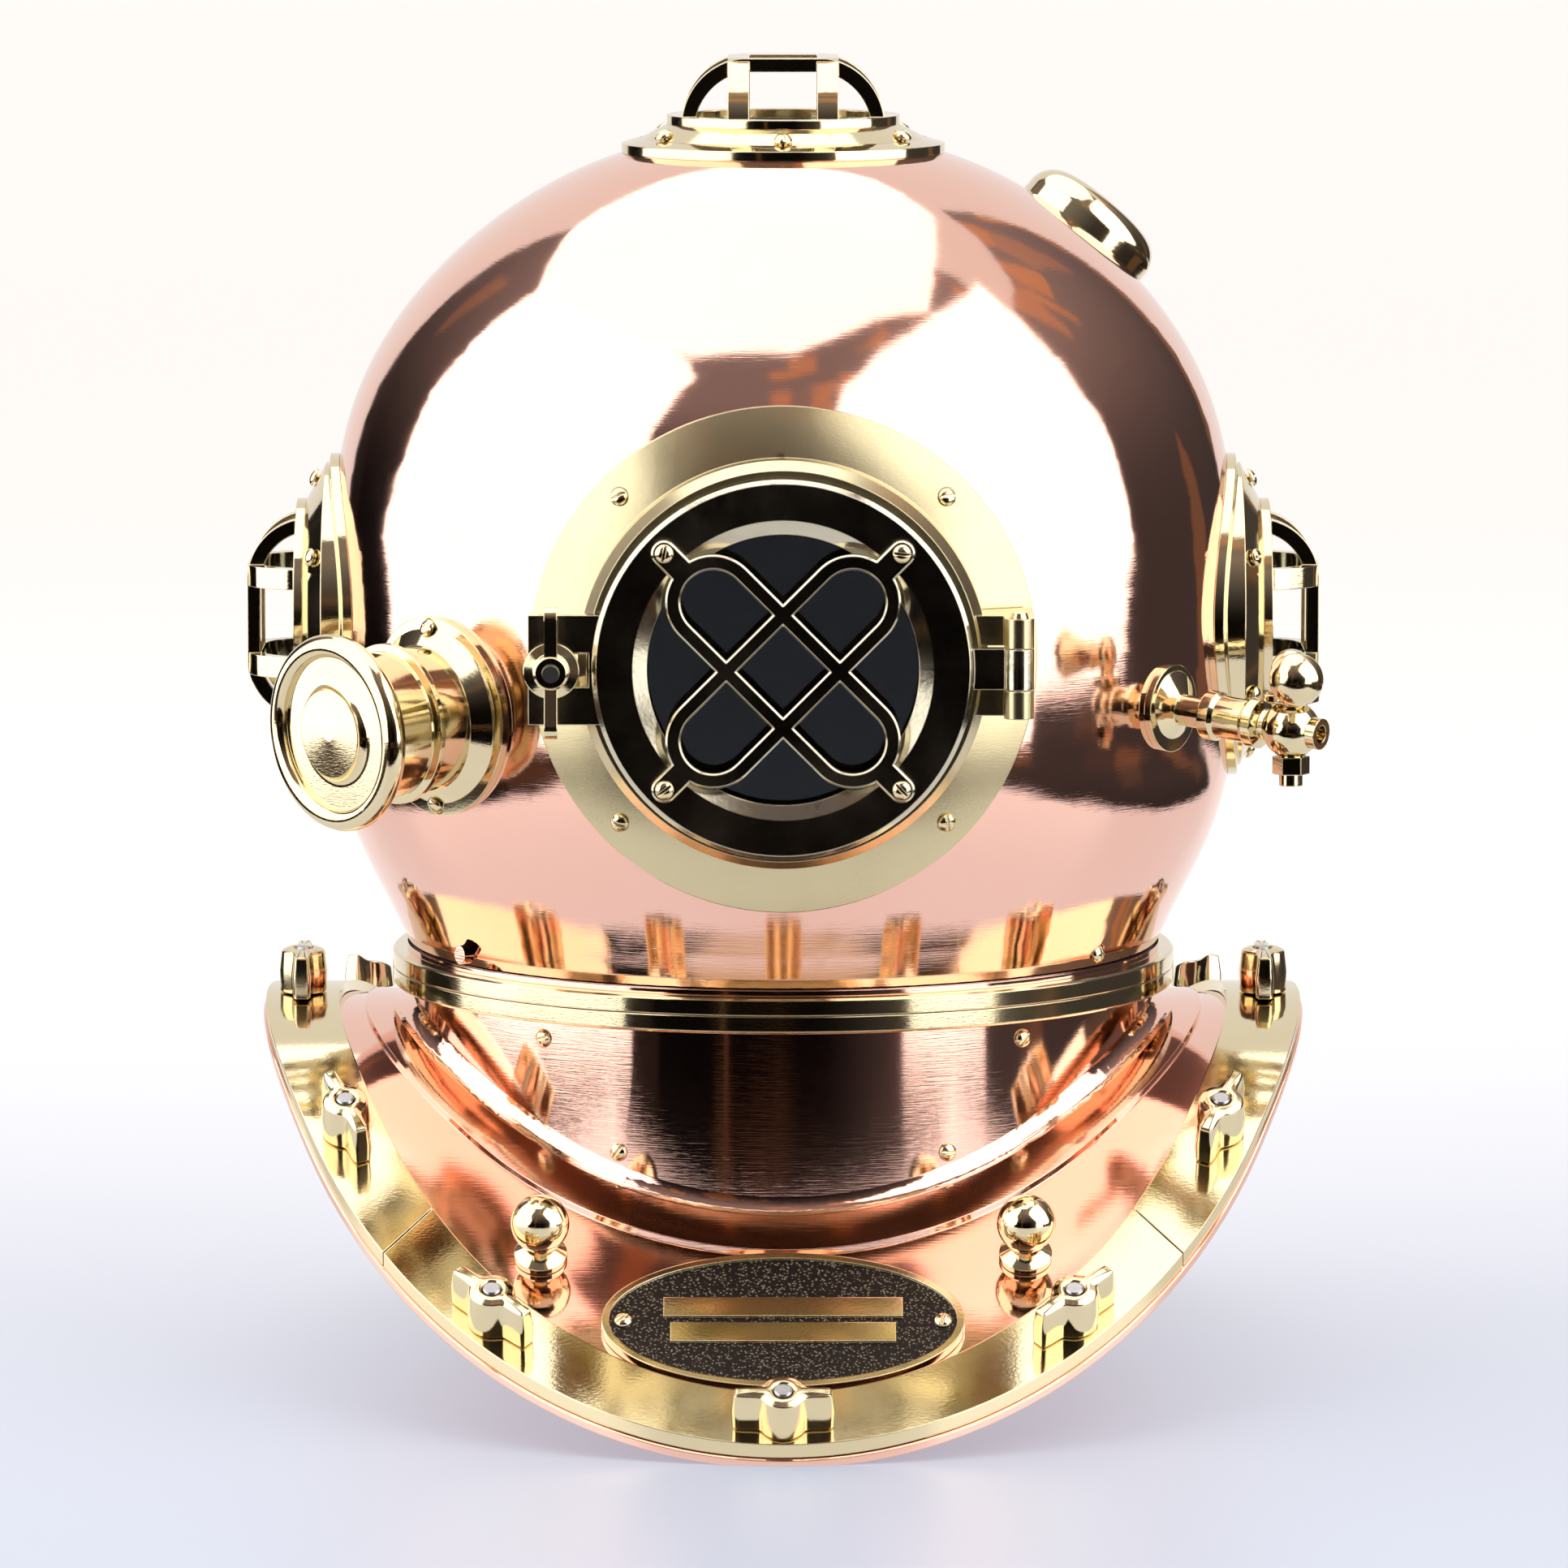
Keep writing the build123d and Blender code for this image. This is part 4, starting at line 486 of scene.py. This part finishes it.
def paintedShadeInside():
    # The bonnet's inside faces: painted shade, near black, with a dull roughness
    material = metals["copper"].copy()
    material.name = "bonnetCopper"
    tree = material.node_tree
    shader = tree.nodes["Principled BSDF"]
    place = addNode(tree, "ShaderNodeTexCoord")
    away = addNode(tree, "ShaderNodeVectorMath", operation="SUBTRACT")
    away.inputs[1].default_value = insideShadePaint["middle"]
    tree.links.new(place.outputs["Object"], away.inputs[0])
    outward = dotted(tree, away.outputs["Vector"], place.outputs["Normal"])
    # faces turned towards the middle get the painted shade
    paintedShadeMask = reckoned(tree, "LESS_THAN", outward, 0.0)
    for socket, key in (("Base Color", "colour"), ("Roughness", "roughness")):
        mix = mixed(tree, paintedShadeMask, source(shader, socket), insideShadePaint[key])
        tree.links.new(mix, shader.inputs[socket])
    return material


plateGround = {
    "middle": (0.0, -0.1756, 0.0376),
    "out": (0.0, -0.5663, 0.8242),
    "below": 0.00315,
    "level": 0.7,
    "colour": (0.030, 0.026, 0.024),
    "worn": (0.30, 0.26, 0.20),
    "grain": 900.0,
    "wornFrom": (0.40, 0.12),
    "roughness": 0.42,
    "stipple": 0.7,
    "stippleDeep": 0.0003,
}


def antiquePlate():
    # A cast plate: its sunk ground left dark and grained, its rim and bars rubbed bright
    material = metals["brass"].copy()
    material.name = "antiquePlate"
    tree = material.node_tree
    shader = tree.nodes["Principled BSDF"]
    g = plateGround
    place = addNode(tree, "ShaderNodeTexCoord")
    away = addNode(tree, "ShaderNodeVectorMath", operation="SUBTRACT")
    away.inputs[1].default_value = g["middle"]
    tree.links.new(place.outputs["Object"], away.inputs[0])
    low = reckoned(tree, "LESS_THAN", dotted(tree, away.outputs["Vector"], g["out"]), g["below"])
    level = reckoned(tree, "GREATER_THAN", dotted(tree, place.outputs["Normal"], g["out"]), g["level"])
    ground = reckoned(tree, "MULTIPLY", low, level)
    grain = addNode(tree, "ShaderNodeTexVoronoi")
    grain.inputs["Scale"].default_value = g["grain"]
    tree.links.new(place.outputs["Object"], grain.inputs["Vector"])
    worn = mapped(tree, grain.outputs["Distance"], g["wornFrom"])
    tint = mixed(tree, worn, g["colour"], g["worn"])
    tree.links.new(mixed(tree, ground, source(shader, "Base Color"), tint), shader.inputs["Base Color"])
    rough = mixed(tree, ground, source(shader, "Roughness"), g["roughness"])
    tree.links.new(rough, shader.inputs["Roughness"])
    pits = reckoned(tree, "MULTIPLY", worn, ground)
    stipple = bumped(tree, pits, g["stipple"], g["stippleDeep"], source(shader, "Normal"))
    tree.links.new(stipple, shader.inputs["Normal"])
    return material


paneGlass = {
    "colour": (0.93, 0.97, 0.95),
    "roughness": 0.01,
    "bend": 1.5,
}


def plateGlass():
    material, _, shader = newMaterial("plateGlass")
    shader.inputs["Base Color"].default_value = (*paneGlass["colour"], 1)
    shader.inputs["Roughness"].default_value = paneGlass["roughness"]
    shader.inputs["Transmission Weight"].default_value = 1.0
    shader.inputs["IOR"].default_value = paneGlass["bend"]
    return material


# colour, darker colour, roughness, grain scale, bump, metallic
plainLooks = {
    "oiledLeather": ((0.20, 0.10, 0.05), (0.09, 0.045, 0.022), 0.5, 180, 0.6, 0.0),
    "blackRubber": ((0.022, 0.022, 0.023), (0.012, 0.012, 0.012), 0.6, 260, 0.4, 0.0),
    "springSteel": ((0.50, 0.50, 0.52), (0.36, 0.36, 0.38), 0.3, 300, 0.1, 1.0),
    "blackBakelite": ((0.02, 0.018, 0.017), (0.04, 0.034, 0.03), 0.25, 120, 0.1, 0.0),
}
plainDetail = 6.0
plainDeep = 0.0003


def plainGrain(name):
    # A soft or moulded piece with a fine mottled grain
    colour, dark, roughness, scale, bump, metallic = plainLooks[name]
    material, tree, shader = newMaterial(name)
    place = addNode(tree, "ShaderNodeTexCoord").outputs["Object"]
    grain = noise(tree, place, scale, plainDetail)
    tree.links.new(mixed(tree, grain, colour, dark), shader.inputs["Base Color"])
    shader.inputs["Roughness"].default_value = roughness
    shader.inputs["Metallic"].default_value = metallic
    tree.links.new(bumped(tree, grain, bump, plainDeep), shader.inputs["Normal"])
    return material


plain = {name: plainGrain(name) for name in plainLooks}

slotFinish = {
    "copper": metals["copper"],
    "brass": metals["brass"],
    "dark_brass": metals["darkBrass"],
    "glass": plateGlass(),
    "leather": plain["oiledLeather"],
    "rubber": plain["blackRubber"],
    "spring_steel": plain["springSteel"],
    "steel": plain["springSteel"],
    "black": plain["blackBakelite"],
}
ownFinish = {
    "bonnet_shell": paintedShadeInside(),
    "front_port_frame": metals["satinBrass"],
    "nameplate": antiquePlate(),
}


def dressNodes():
    slots = {part["node"]: part["material_slot"] for part in frame["record"]["subparts"]}
    for node in frame["nodes"]:
        thing = bpy.data.objects[node]
        finish = ownFinish.get(node, slotFinish[slots[node]])
        if not thing.material_slots:
            thing.data.materials.append(finish)
        for k in range(len(thing.material_slots)):
            thing.material_slots[k].material = finish


dressNodes()
print("stage: finishes on")

# Turned and cast pieces in softened metal


def finished(name, verts, faces, finish, matrix=None, smoothUnder=40):
    mesh = bpy.data.meshes.new(name)
    mesh.from_pydata(verts, [], faces)
    if matrix:
        mesh.transform(matrix)
    work = bmesh.new()
    work.from_mesh(mesh)
    bmesh.ops.remove_doubles(work, verts=work.verts, dist=1e-7)
    bmesh.ops.recalc_face_normals(work, faces=work.faces)
    work.to_mesh(mesh)
    work.free()
    for face in mesh.polygons:
        face.use_smooth = True
    mesh.set_sharp_from_angle(angle=math.radians(smoothUnder))
    mesh.materials.append(finish)
    thing = bpy.data.objects.new(name, mesh)
    bpy.context.collection.objects.link(thing)
    return thing


axisRadius = 1e-5  # where a turned profile meets its axis


def lathed(profile, around):
    # A closed turned shape from a profile of radius and height
    verts = []
    faces = []
    for radius, height in profile:
        for k in range(around):
            a = math.tau * k / around
            verts.append((radius * math.cos(a), radius * math.sin(a), height))
    rows = len(profile)
    for row in range(rows):
        low = row * around
        high = (row + 1) % rows * around
        for k in range(around):
            n = (k + 1) % around
            faces.append((low + k, low + n, high + n, high + k))
    return verts, faces


def rounded(centre, radius, start, end, steps):
    # Points of an arc in a profile, its angles in degrees from outward
    points = []
    for k in range(steps + 1):
        a = math.radians(start + (end - start) * k / steps)
        points.append((centre[0] + radius * math.cos(a), centre[1] + radius * math.sin(a)))
    return points


def facing(origin, out, side):
    out = Vector(out).normalized()
    side = Vector(side)
    side = (side - out * side.dot(out)).normalized()
    up = out.cross(side)
    matrix = Matrix((side, up, out)).transposed().to_4x4()
    matrix.translation = Vector(origin)
    return matrix


def lookingOut(turn, dip, height):
    # The place of a port: turn from the front to the viewer's right, dip below level
    a = math.radians(turn)
    d = math.radians(dip)
    out = (math.sin(a) * math.cos(d), -math.cos(a) * math.cos(d), -math.sin(d))
    return facing((0, 0, height), out, (math.cos(a), math.sin(a), 0))


rimNut = {
    "studReach": (0.16955, 0.2172),  # half width and half depth of the stud line
    "base": 0.0044,
    "high": 0.0150,
    "span": 0.0335,
    "boss": 0.0082,
    "wing": 0.0064,
    "squareness": 7.0,
    "fillet": 9.0,
    "crowding": 0.35,  # draws the outline's points towards the wings
    "draft": 0.0005,
    "edge": 0.0011,
    "bore": 0.0032,
    "countersink": 0.0008,
    "crown": 0.0007,
    "around": 144,
    "smoothUnder": 50,
}


def nutOutline():
    # Seen from above: a round boss with a square-ended wing to each side
    points = []
    half = rimNut["span"] / 2
    thick = rimNut["wing"] / 2
    p = rimNut["squareness"]
    k = rimNut["fillet"]
    for n in range(rimNut["around"]):
        u = math.tau * n / rimNut["around"]
        a = u - rimNut["crowding"] * math.sin(2 * u)
        across = abs(math.cos(a)) / half
        along = abs(math.sin(a)) / thick
        wing = (across ** p + along ** p) ** (-1 / p)
        away = (wing ** k + rimNut["boss"] ** k) ** (1 / k)
        points.append(Vector((away * math.cos(a), away * math.sin(a))))
    return points


def nutShape():
    outline = nutOutline()
    count = len(outline)
    inward = []
    for n in range(count):
        along = (outline[(n + 1) % count] - outline[n - 1]).normalized()
        inward.append(Vector((-along.y, along.x)))
    high = rimNut["high"]
    edge = rimNut["edge"]
    draft = rimNut["draft"]
    levels = [(edge / 2, 0.0), (0.0, edge / 3), (-draft * 0.5, high * 0.5)]
    for angle in (0, 22.5, 45, 67.5, 90):
        a = math.radians(angle)
        levels.append((draft + edge * (1 - math.cos(a)), high - edge * (1 - math.sin(a))))
    rings = []
    for inset, z in levels:
        rings.append([(*(p + i * inset), z) for p, i in zip(outline, inward)])
    last = rings[-1]
    mouth = rimNut["bore"] + rimNut["countersink"]
    for share in (0.3, 0.6, 0.85):
        ring = []
        for x, y, z in last:
            away = math.hypot(x, y)
            near = away + (mouth - away) * share
            lift = rimNut["crown"] * math.sin(min(1.0, share / 0.6) * math.pi / 2)
            ring.append((x / away * near, y / away * near, z + lift))
        rings.append(ring)
    crown = high + rimNut["crown"]
    bore = rimNut["bore"]
    for radius, z in ((mouth, crown), (bore, crown - rimNut["countersink"]), (bore, 0.0)):
        rings.append([(x / math.hypot(x, y) * radius, y / math.hypot(x, y) * radius, z) for x, y, _ in last])
    verts = [point for ring in rings for point in ring]
    faces = []
    for row in range(len(rings)):
        low = row * count
        top = (row + 1) % len(rings) * count
        for n in range(count):
            m = (n + 1) % count
            faces.append((low + n, low + m, top + m, top + n))
    return verts, faces


def castRimNuts():
    verts, faces = nutShape()
    reachX, reachY = rimNut["studReach"]
    for joint in frame["joints"]:
        if not joint["name"].startswith("rim_nut_"):
            continue
        x, y, _ = joint["pos_m"]
        axis = Vector(joint["axis"])
        tangent = math.atan2(reachY * (x / reachX), reachX * (-y / reachY))
        side = Matrix.Rotation(tangent, 3, axis) @ Vector((1, 0, 0))
        seat = Vector(joint["pos_m"]) + axis * rimNut["base"]
        number = joint["name"].split("_")[2]
        place = facing(seat, axis, side)
        nut = finished("castNut" + number, verts, faces, metals["castBrass"], place, rimNut["smoothUnder"])
        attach(nut, joint["child"])
        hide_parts("wing_nut_" + number)


castRimNuts()
print("stage: twelve rim nuts cast")

telephoneCan = {
    "turn": 105,
    "dip": -49,
    "height": 0.267,
    "sphere": 0.1597,
    "radius": 0.0262,
    "top": 0.1795,
    "round": 0.0095,
    "flange": 0.0322,
    "flangeThick": 0.0016,
    "lip": 0.0006,
    "sunk": 0.004,
    "bead": 0.0281,
    "beadRound": 0.0012,
    "foot": 0.0004,
    "wall": 0.0013,
    "crown": 0.0006,
    "around": 96,
}


def spinTelephoneCan():
    # The receiver's can: straight sides under a well rounded top, on a thin flange
    c = telephoneCan

    def shell(radius):
        return math.sqrt(c["sphere"] ** 2 - radius ** 2)

    r, thick, lip, bead = c["radius"], c["flangeThick"], c["lip"], c["beadRound"]
    turnIn = c["round"]
    corner = (r - turnIn, c["top"] - turnIn)
    sunk = shell(c["flange"]) - c["sunk"]
    profile = [(c["flange"], sunk)]
    profile += rounded((c["flange"] - lip, shell(c["flange"]) + thick - lip), lip, 0, 90, 4)
    profile.append((c["bead"] + bead, shell(c["bead"]) + thick))
    profile += rounded((c["bead"], shell(c["bead"]) + thick), bead, 0, 150, 8)
    profile.append((r, shell(r) + thick + c["foot"]))
    profile += rounded(corner, turnIn, 0, 90, 16)
    profile += [(corner[0] * 0.5, c["top"] + c["crown"] * 0.75), (axisRadius, c["top"] + c["crown"])]
    profile += [(axisRadius, c["top"] - c["wall"]), (corner[0], c["top"] - c["wall"])]
    profile += rounded(corner, turnIn - c["wall"], 75, 0, 6)
    profile.append((r - c["wall"], sunk))
    verts, faces = lathed(profile, c["around"])
    place = lookingOut(c["turn"], c["dip"], c["height"])
    can = finished("telephoneCan", verts, faces, metals["brass"], place)
    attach(can, "bonnet")
    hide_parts("telephone_cup")


spinTelephoneCan()
print("stage: telephone can spun")

# Slotted screws, set in rings by Geometry Nodes

screwHead = {
    "radius": 0.0032,
    "dome": 0.0021,
    "slot": 0.0009,
    "slotDeep": 0.0011,
    "shank": 0.0015,
    "shankLong": 0.0022,
    "edge": 0.0002,
    "rise": (0, 8, 18, 30, 42, 54, 66, 78),
    "around": 40,
    "bevel": 0.00014,
    "bevelOver": 50,
    "smoothUnder": 45,
}

# Each ring: (turn, dip, height of its place), (count, pitch radius, seat, shift of the seat,
# lean, first turn), scale
screwRings = {
    "bonnet_screws": [
        ((0, -90, 0.2661), (6, 0.048, 0.16424, 0, 23.5, 30), 1.0),
        ((90, 0, 0.261), (6, 0.048, 0.16424, 0, 23.5, 30), 1.0),
        ((-90, 0, 0.261), (6, 0.048, 0.16424, 0, 23.5, 30), 1.0),
        ((0, 0, 0.261), (4, 0.078, 0.14940, -0.00061, 27.6, 45), 1.0),
        ((-48, 3, 0.2454), (2, 0.0306, 0.1617, 0, 30, 90), 1.0),
        ((0, -90, 0.151), (1, 0.13422, 0, 0, 90, -36), 1.0),
        ((0, -90, 0.151), (1, 0.13422, 0, 0, 90, -144), 1.0),
        ((105, -49, 0.267), (4, 0.0299, 0.1584, 0, 9, 20), 0.5),
    ],
    "door_screws": [((0, 0, 0.261), (4, 0.0561, 0.1867, 0, 0, 45), 1.0)],
    "breastplate_screws": [
        ((0, -90, 0.125), (1, 0.1307, 0, 0, 90, -51), 1.0),
        ((0, -90, 0.125), (1, 0.1307, 0, 0, 90, -129), 1.0),
        ((0, -90, 0.088), (1, 0.1307, 0, 0, 90, -64.5), 1.0),
        ((0, -90, 0.088), (1, 0.1307, 0, 0, 90, -115.5), 1.0),
        ((0, -55.51, "plate"), (2, 0.05399, 0.0027, 0, 0, 0), 1.0),
    ],
}
screwBodies = {
    "bonnet_screws": "bonnet",
    "door_screws": "door",
    "breastplate_screws": "breastplate",
}


def block(x, y, low, high):
    verts = [(a, b, c) for a in (-x, x) for b in (-y, y) for c in (low, high)]
    faces = [(0, 1, 3, 2), (4, 6, 7, 5), (0, 4, 5, 1), (2, 3, 7, 6), (0, 2, 6, 4), (1, 5, 7, 3)]
    return verts, faces


def turnScrew():
    # One round-headed screw, its slot cut by a Boolean, kept as the pattern for the rings
    s = screwHead
    r, dome, edge = s["radius"], s["dome"], s["edge"]
    profile = [(axisRadius, -s["shankLong"]), (s["shank"], -s["shankLong"])]
    profile += [(s["shank"], 0), (r * 0.96, 0)]
    for degrees in s["rise"]:
        a = math.radians(degrees)
        profile.append((r * math.cos(a), edge + (dome - edge) * math.sin(a)))
    profile.append((axisRadius, dome))
    head = finished("screwPattern", *lathed(profile, s["around"]), metals["brass"])
    slot = block(r * 1.2, s["slot"] / 2, dome - s["slotDeep"], dome * 1.5)
    blade = finished("slotCutter", *slot, metals["brass"])
    cut = head.modifiers.new("slot", "BOOLEAN")
    cut.operation = "DIFFERENCE"
    cut.solver = "EXACT"
    cut.object = blade
    soften = head.modifiers.new("soften", "BEVEL")
    soften.width = s["bevel"]
    soften.segments = 2
    soften.limit_method = "ANGLE"
    soften.angle_limit = math.radians(s["bevelOver"])
    seen = bpy.context.evaluated_depsgraph_get()
    mesh = bpy.data.meshes.new_from_object(head.evaluated_get(seen))
    head.modifiers.clear()
    head.data = mesh
    mesh.set_sharp_from_angle(angle=math.radians(s["smoothUnder"]))
    bpy.data.objects.remove(blade)
    return head


ringInputs = {
    "Pattern": "Object",
    "Count": "Int",
    "Pitch Radius": "Float",
    "Seat": "Float",
    "Seat Shift": "Float",
    "Lean": "Float",
    "First Turn": "Float",
    "Size": "Float",
    "Seed": "Int",
    "Finish": "Material",
}


def screwRingTree():
    # Screws evenly round a circle, leaning outward, each with its slot at a chance angle
    tree = bpy.data.node_groups.new("screwRing", "GeometryNodeTree")
    tree.interface.new_socket("Screws", in_out="OUTPUT", socket_type="NodeSocketGeometry")
    for name, kind in ringInputs.items():
        tree.interface.new_socket(name, in_out="INPUT", socket_type="NodeSocket" + kind)
    given = addNode(tree, "NodeGroupInput").outputs
    out = addNode(tree, "NodeGroupOutput")
    points = addNode(tree, "GeometryNodePoints")
    tree.links.new(given["Count"], points.inputs["Count"])
    index = addNode(tree, "GeometryNodeInputIndex").outputs[0]
    step = reckoned(tree, "DIVIDE", math.tau, given["Count"])
    angle = reckoned(tree, "MULTIPLY_ADD", index, step, given["First Turn"])
    cosine = reckoned(tree, "COSINE", angle)
    sine = reckoned(tree, "SINE", angle)
    spot = addNode(tree, "ShaderNodeCombineXYZ")
    feed(tree, spot.inputs[0], reckoned(tree, "MULTIPLY", cosine, given["Pitch Radius"]))
    feed(tree, spot.inputs[1], reckoned(tree, "MULTIPLY", sine, given["Pitch Radius"]))
    feed(tree, spot.inputs[2], reckoned(tree, "MULTIPLY_ADD", sine, given["Seat Shift"], given["Seat"]))
    tree.links.new(spot.outputs[0], points.inputs["Position"])
    stance = addNode(tree, "ShaderNodeCombineXYZ")
    tree.links.new(given["Lean"], stance.inputs[1])
    tree.links.new(angle, stance.inputs[2])
    pattern = addNode(tree, "GeometryNodeObjectInfo")
    tree.links.new(given["Pattern"], pattern.inputs["Object"])
    placed = addNode(tree, "GeometryNodeInstanceOnPoints")
    tree.links.new(points.outputs[0], placed.inputs["Points"])
    tree.links.new(pattern.outputs["Geometry"], placed.inputs["Instance"])
    tree.links.new(stance.outputs[0], placed.inputs["Rotation"])
    tree.links.new(given["Size"], placed.inputs["Scale"])
    chance = addNode(tree, "FunctionNodeRandomValue", data_type="FLOAT")
    chance.inputs[3].default_value = math.tau
    tree.links.new(given["Seed"], chance.inputs["Seed"])
    spin = addNode(tree, "ShaderNodeCombineXYZ")
    tree.links.new(chance.outputs[1], spin.inputs[2])
    driven = addNode(tree, "GeometryNodeRotateInstances")
    tree.links.new(placed.outputs[0], driven.inputs["Instances"])
    tree.links.new(spin.outputs[0], driven.inputs["Rotation"])
    real = addNode(tree, "GeometryNodeRealizeInstances")
    tree.links.new(driven.outputs[0], real.inputs[0])
    coat = addNode(tree, "GeometryNodeSetMaterial")
    tree.links.new(real.outputs[0], coat.inputs["Geometry"])
    tree.links.new(given["Finish"], coat.inputs["Material"])
    tree.links.new(coat.outputs[0], out.inputs[0])
    return tree


def ringPlace(turn, dip, height):
    if height != "plate":
        return lookingOut(turn, dip, height)
    place = lookingOut(turn, dip, 0.0)
    place.translation = Vector(plateGround["middle"])
    return place


def screwRing(tree, values):
    host = meshObject("screwHost", [], [])
    ring = host.modifiers.new("screwRing", "NODES")
    ring.node_group = tree
    sockets = {item.name: item.identifier for item in tree.interface.items_tree if item.in_out == "INPUT"}
    for name, value in values.items():
        ring[sockets[name]] = value
    seen = bpy.context.evaluated_depsgraph_get()
    mesh = bpy.data.meshes.new_from_object(host.evaluated_get(seen))
    host.modifiers.remove(ring)
    bpy.data.objects.remove(host)
    return mesh


def setScrews():
    pattern = turnScrew()
    tree = screwRingTree()
    for node, rings in screwRings.items():
        gathered = bmesh.new()
        for seed, (place, (count, radius, seat, shift, lean, first), size) in enumerate(rings):
            mesh = screwRing(tree, {
                "Pattern": pattern, "Count": count, "Pitch Radius": radius, "Seat": seat,
                "Seat Shift": shift, "Lean": math.radians(lean), "First Turn": math.radians(first),
                "Size": size, "Seed": seed, "Finish": metals["brass"],
            })
            mesh.transform(ringPlace(*place))
            gathered.from_mesh(mesh)
            bpy.data.meshes.remove(mesh)
        mesh = bpy.data.meshes.new(node + "Set")
        gathered.to_mesh(mesh)
        gathered.free()
        mesh.materials.append(metals["brass"])
        made = bpy.data.objects.new(node.replace("_s", "S") + "Set", mesh)
        bpy.context.collection.objects.link(made)
        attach(made, screwBodies[node])
        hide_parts(node)
        print("stage: %s, %d faces" % (made.name, len(mesh.polygons)))
    bpy.data.objects.remove(pattern)


setScrews()

cockHandle = {
    "plug": 0.0040,
    "plugLow": -0.0193,
    "plugHigh": 0.0094,
    "washer": 0.0095,
    "washerThick": 0.0030,
    "neck": 0.0048,
    "head": 0.0070,
    "level": 0.0205,  # of the handle over the ball's middle
    "root": 0.0046,
    "end": 0.0094,
    "long": 0.0400,
    "soft": 0.0006,
    "fillet": 0.0012,
    "bead": (0.0010, 0.0020, 0.0035, 0.0045),  # steps out of the head, to a bead on the root
    "around": 72,
}


def turnCockHandle():
    # The lever as a turned handle, thick and well rounded at its end, on the plug's round head
    c = cockHandle
    pin = next(joint for joint in frame["joints"] if joint["name"] == "spitcock_turn")
    at = Vector(pin["pos_m"])
    low, top, edge = c["plugHigh"], c["plugHigh"] + c["washerThick"], c["soft"]
    washer, head, root = c["washer"] - edge, c["head"], c["root"]
    stem = [(axisRadius, c["plugLow"]), (c["plug"], c["plugLow"]), (c["plug"], low)]
    stem += rounded((washer, low + edge), edge, -90, 0, 4)
    stem += rounded((washer, top - edge), edge, 0, 90, 4)
    stem += [(c["neck"] * 1.15, top), (c["neck"], top + c["fillet"]), (c["neck"], c["level"] - head * 0.8)]
    stem += rounded((0, c["level"]), head, -42, 89.9, 18)
    rod = [(axisRadius, 0), (root, 0)]
    rod += [(root * wide, head + out) for wide, out in zip((1.0, 1.18, 1.18, 1.02), c["bead"])]
    rod += rounded((0, c["long"] - c["end"]), c["end"], 12, 89.9, 18)
    forward = facing(at + Vector((0, 0, c["level"])), (0, -1, 0), (1, 0, 0))
    pieces = []
    for profile, place in ((stem, Matrix.Translation(at)), (rod, forward)):
        verts, faces = lathed(profile, c["around"])
        pieces.append(finished("cockHandle", verts, faces, metals["brass"], place))
    gathered = bmesh.new()
    for piece in pieces:
        gathered.from_mesh(piece.data)
    gathered.to_mesh(pieces[0].data)
    gathered.free()
    bpy.data.objects.remove(pieces[1])
    handle = pieces[0]
    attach(handle, pin["child"])
    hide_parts("spitcock_lever")


turnCockHandle()
print("stage: spitcock handle turned")
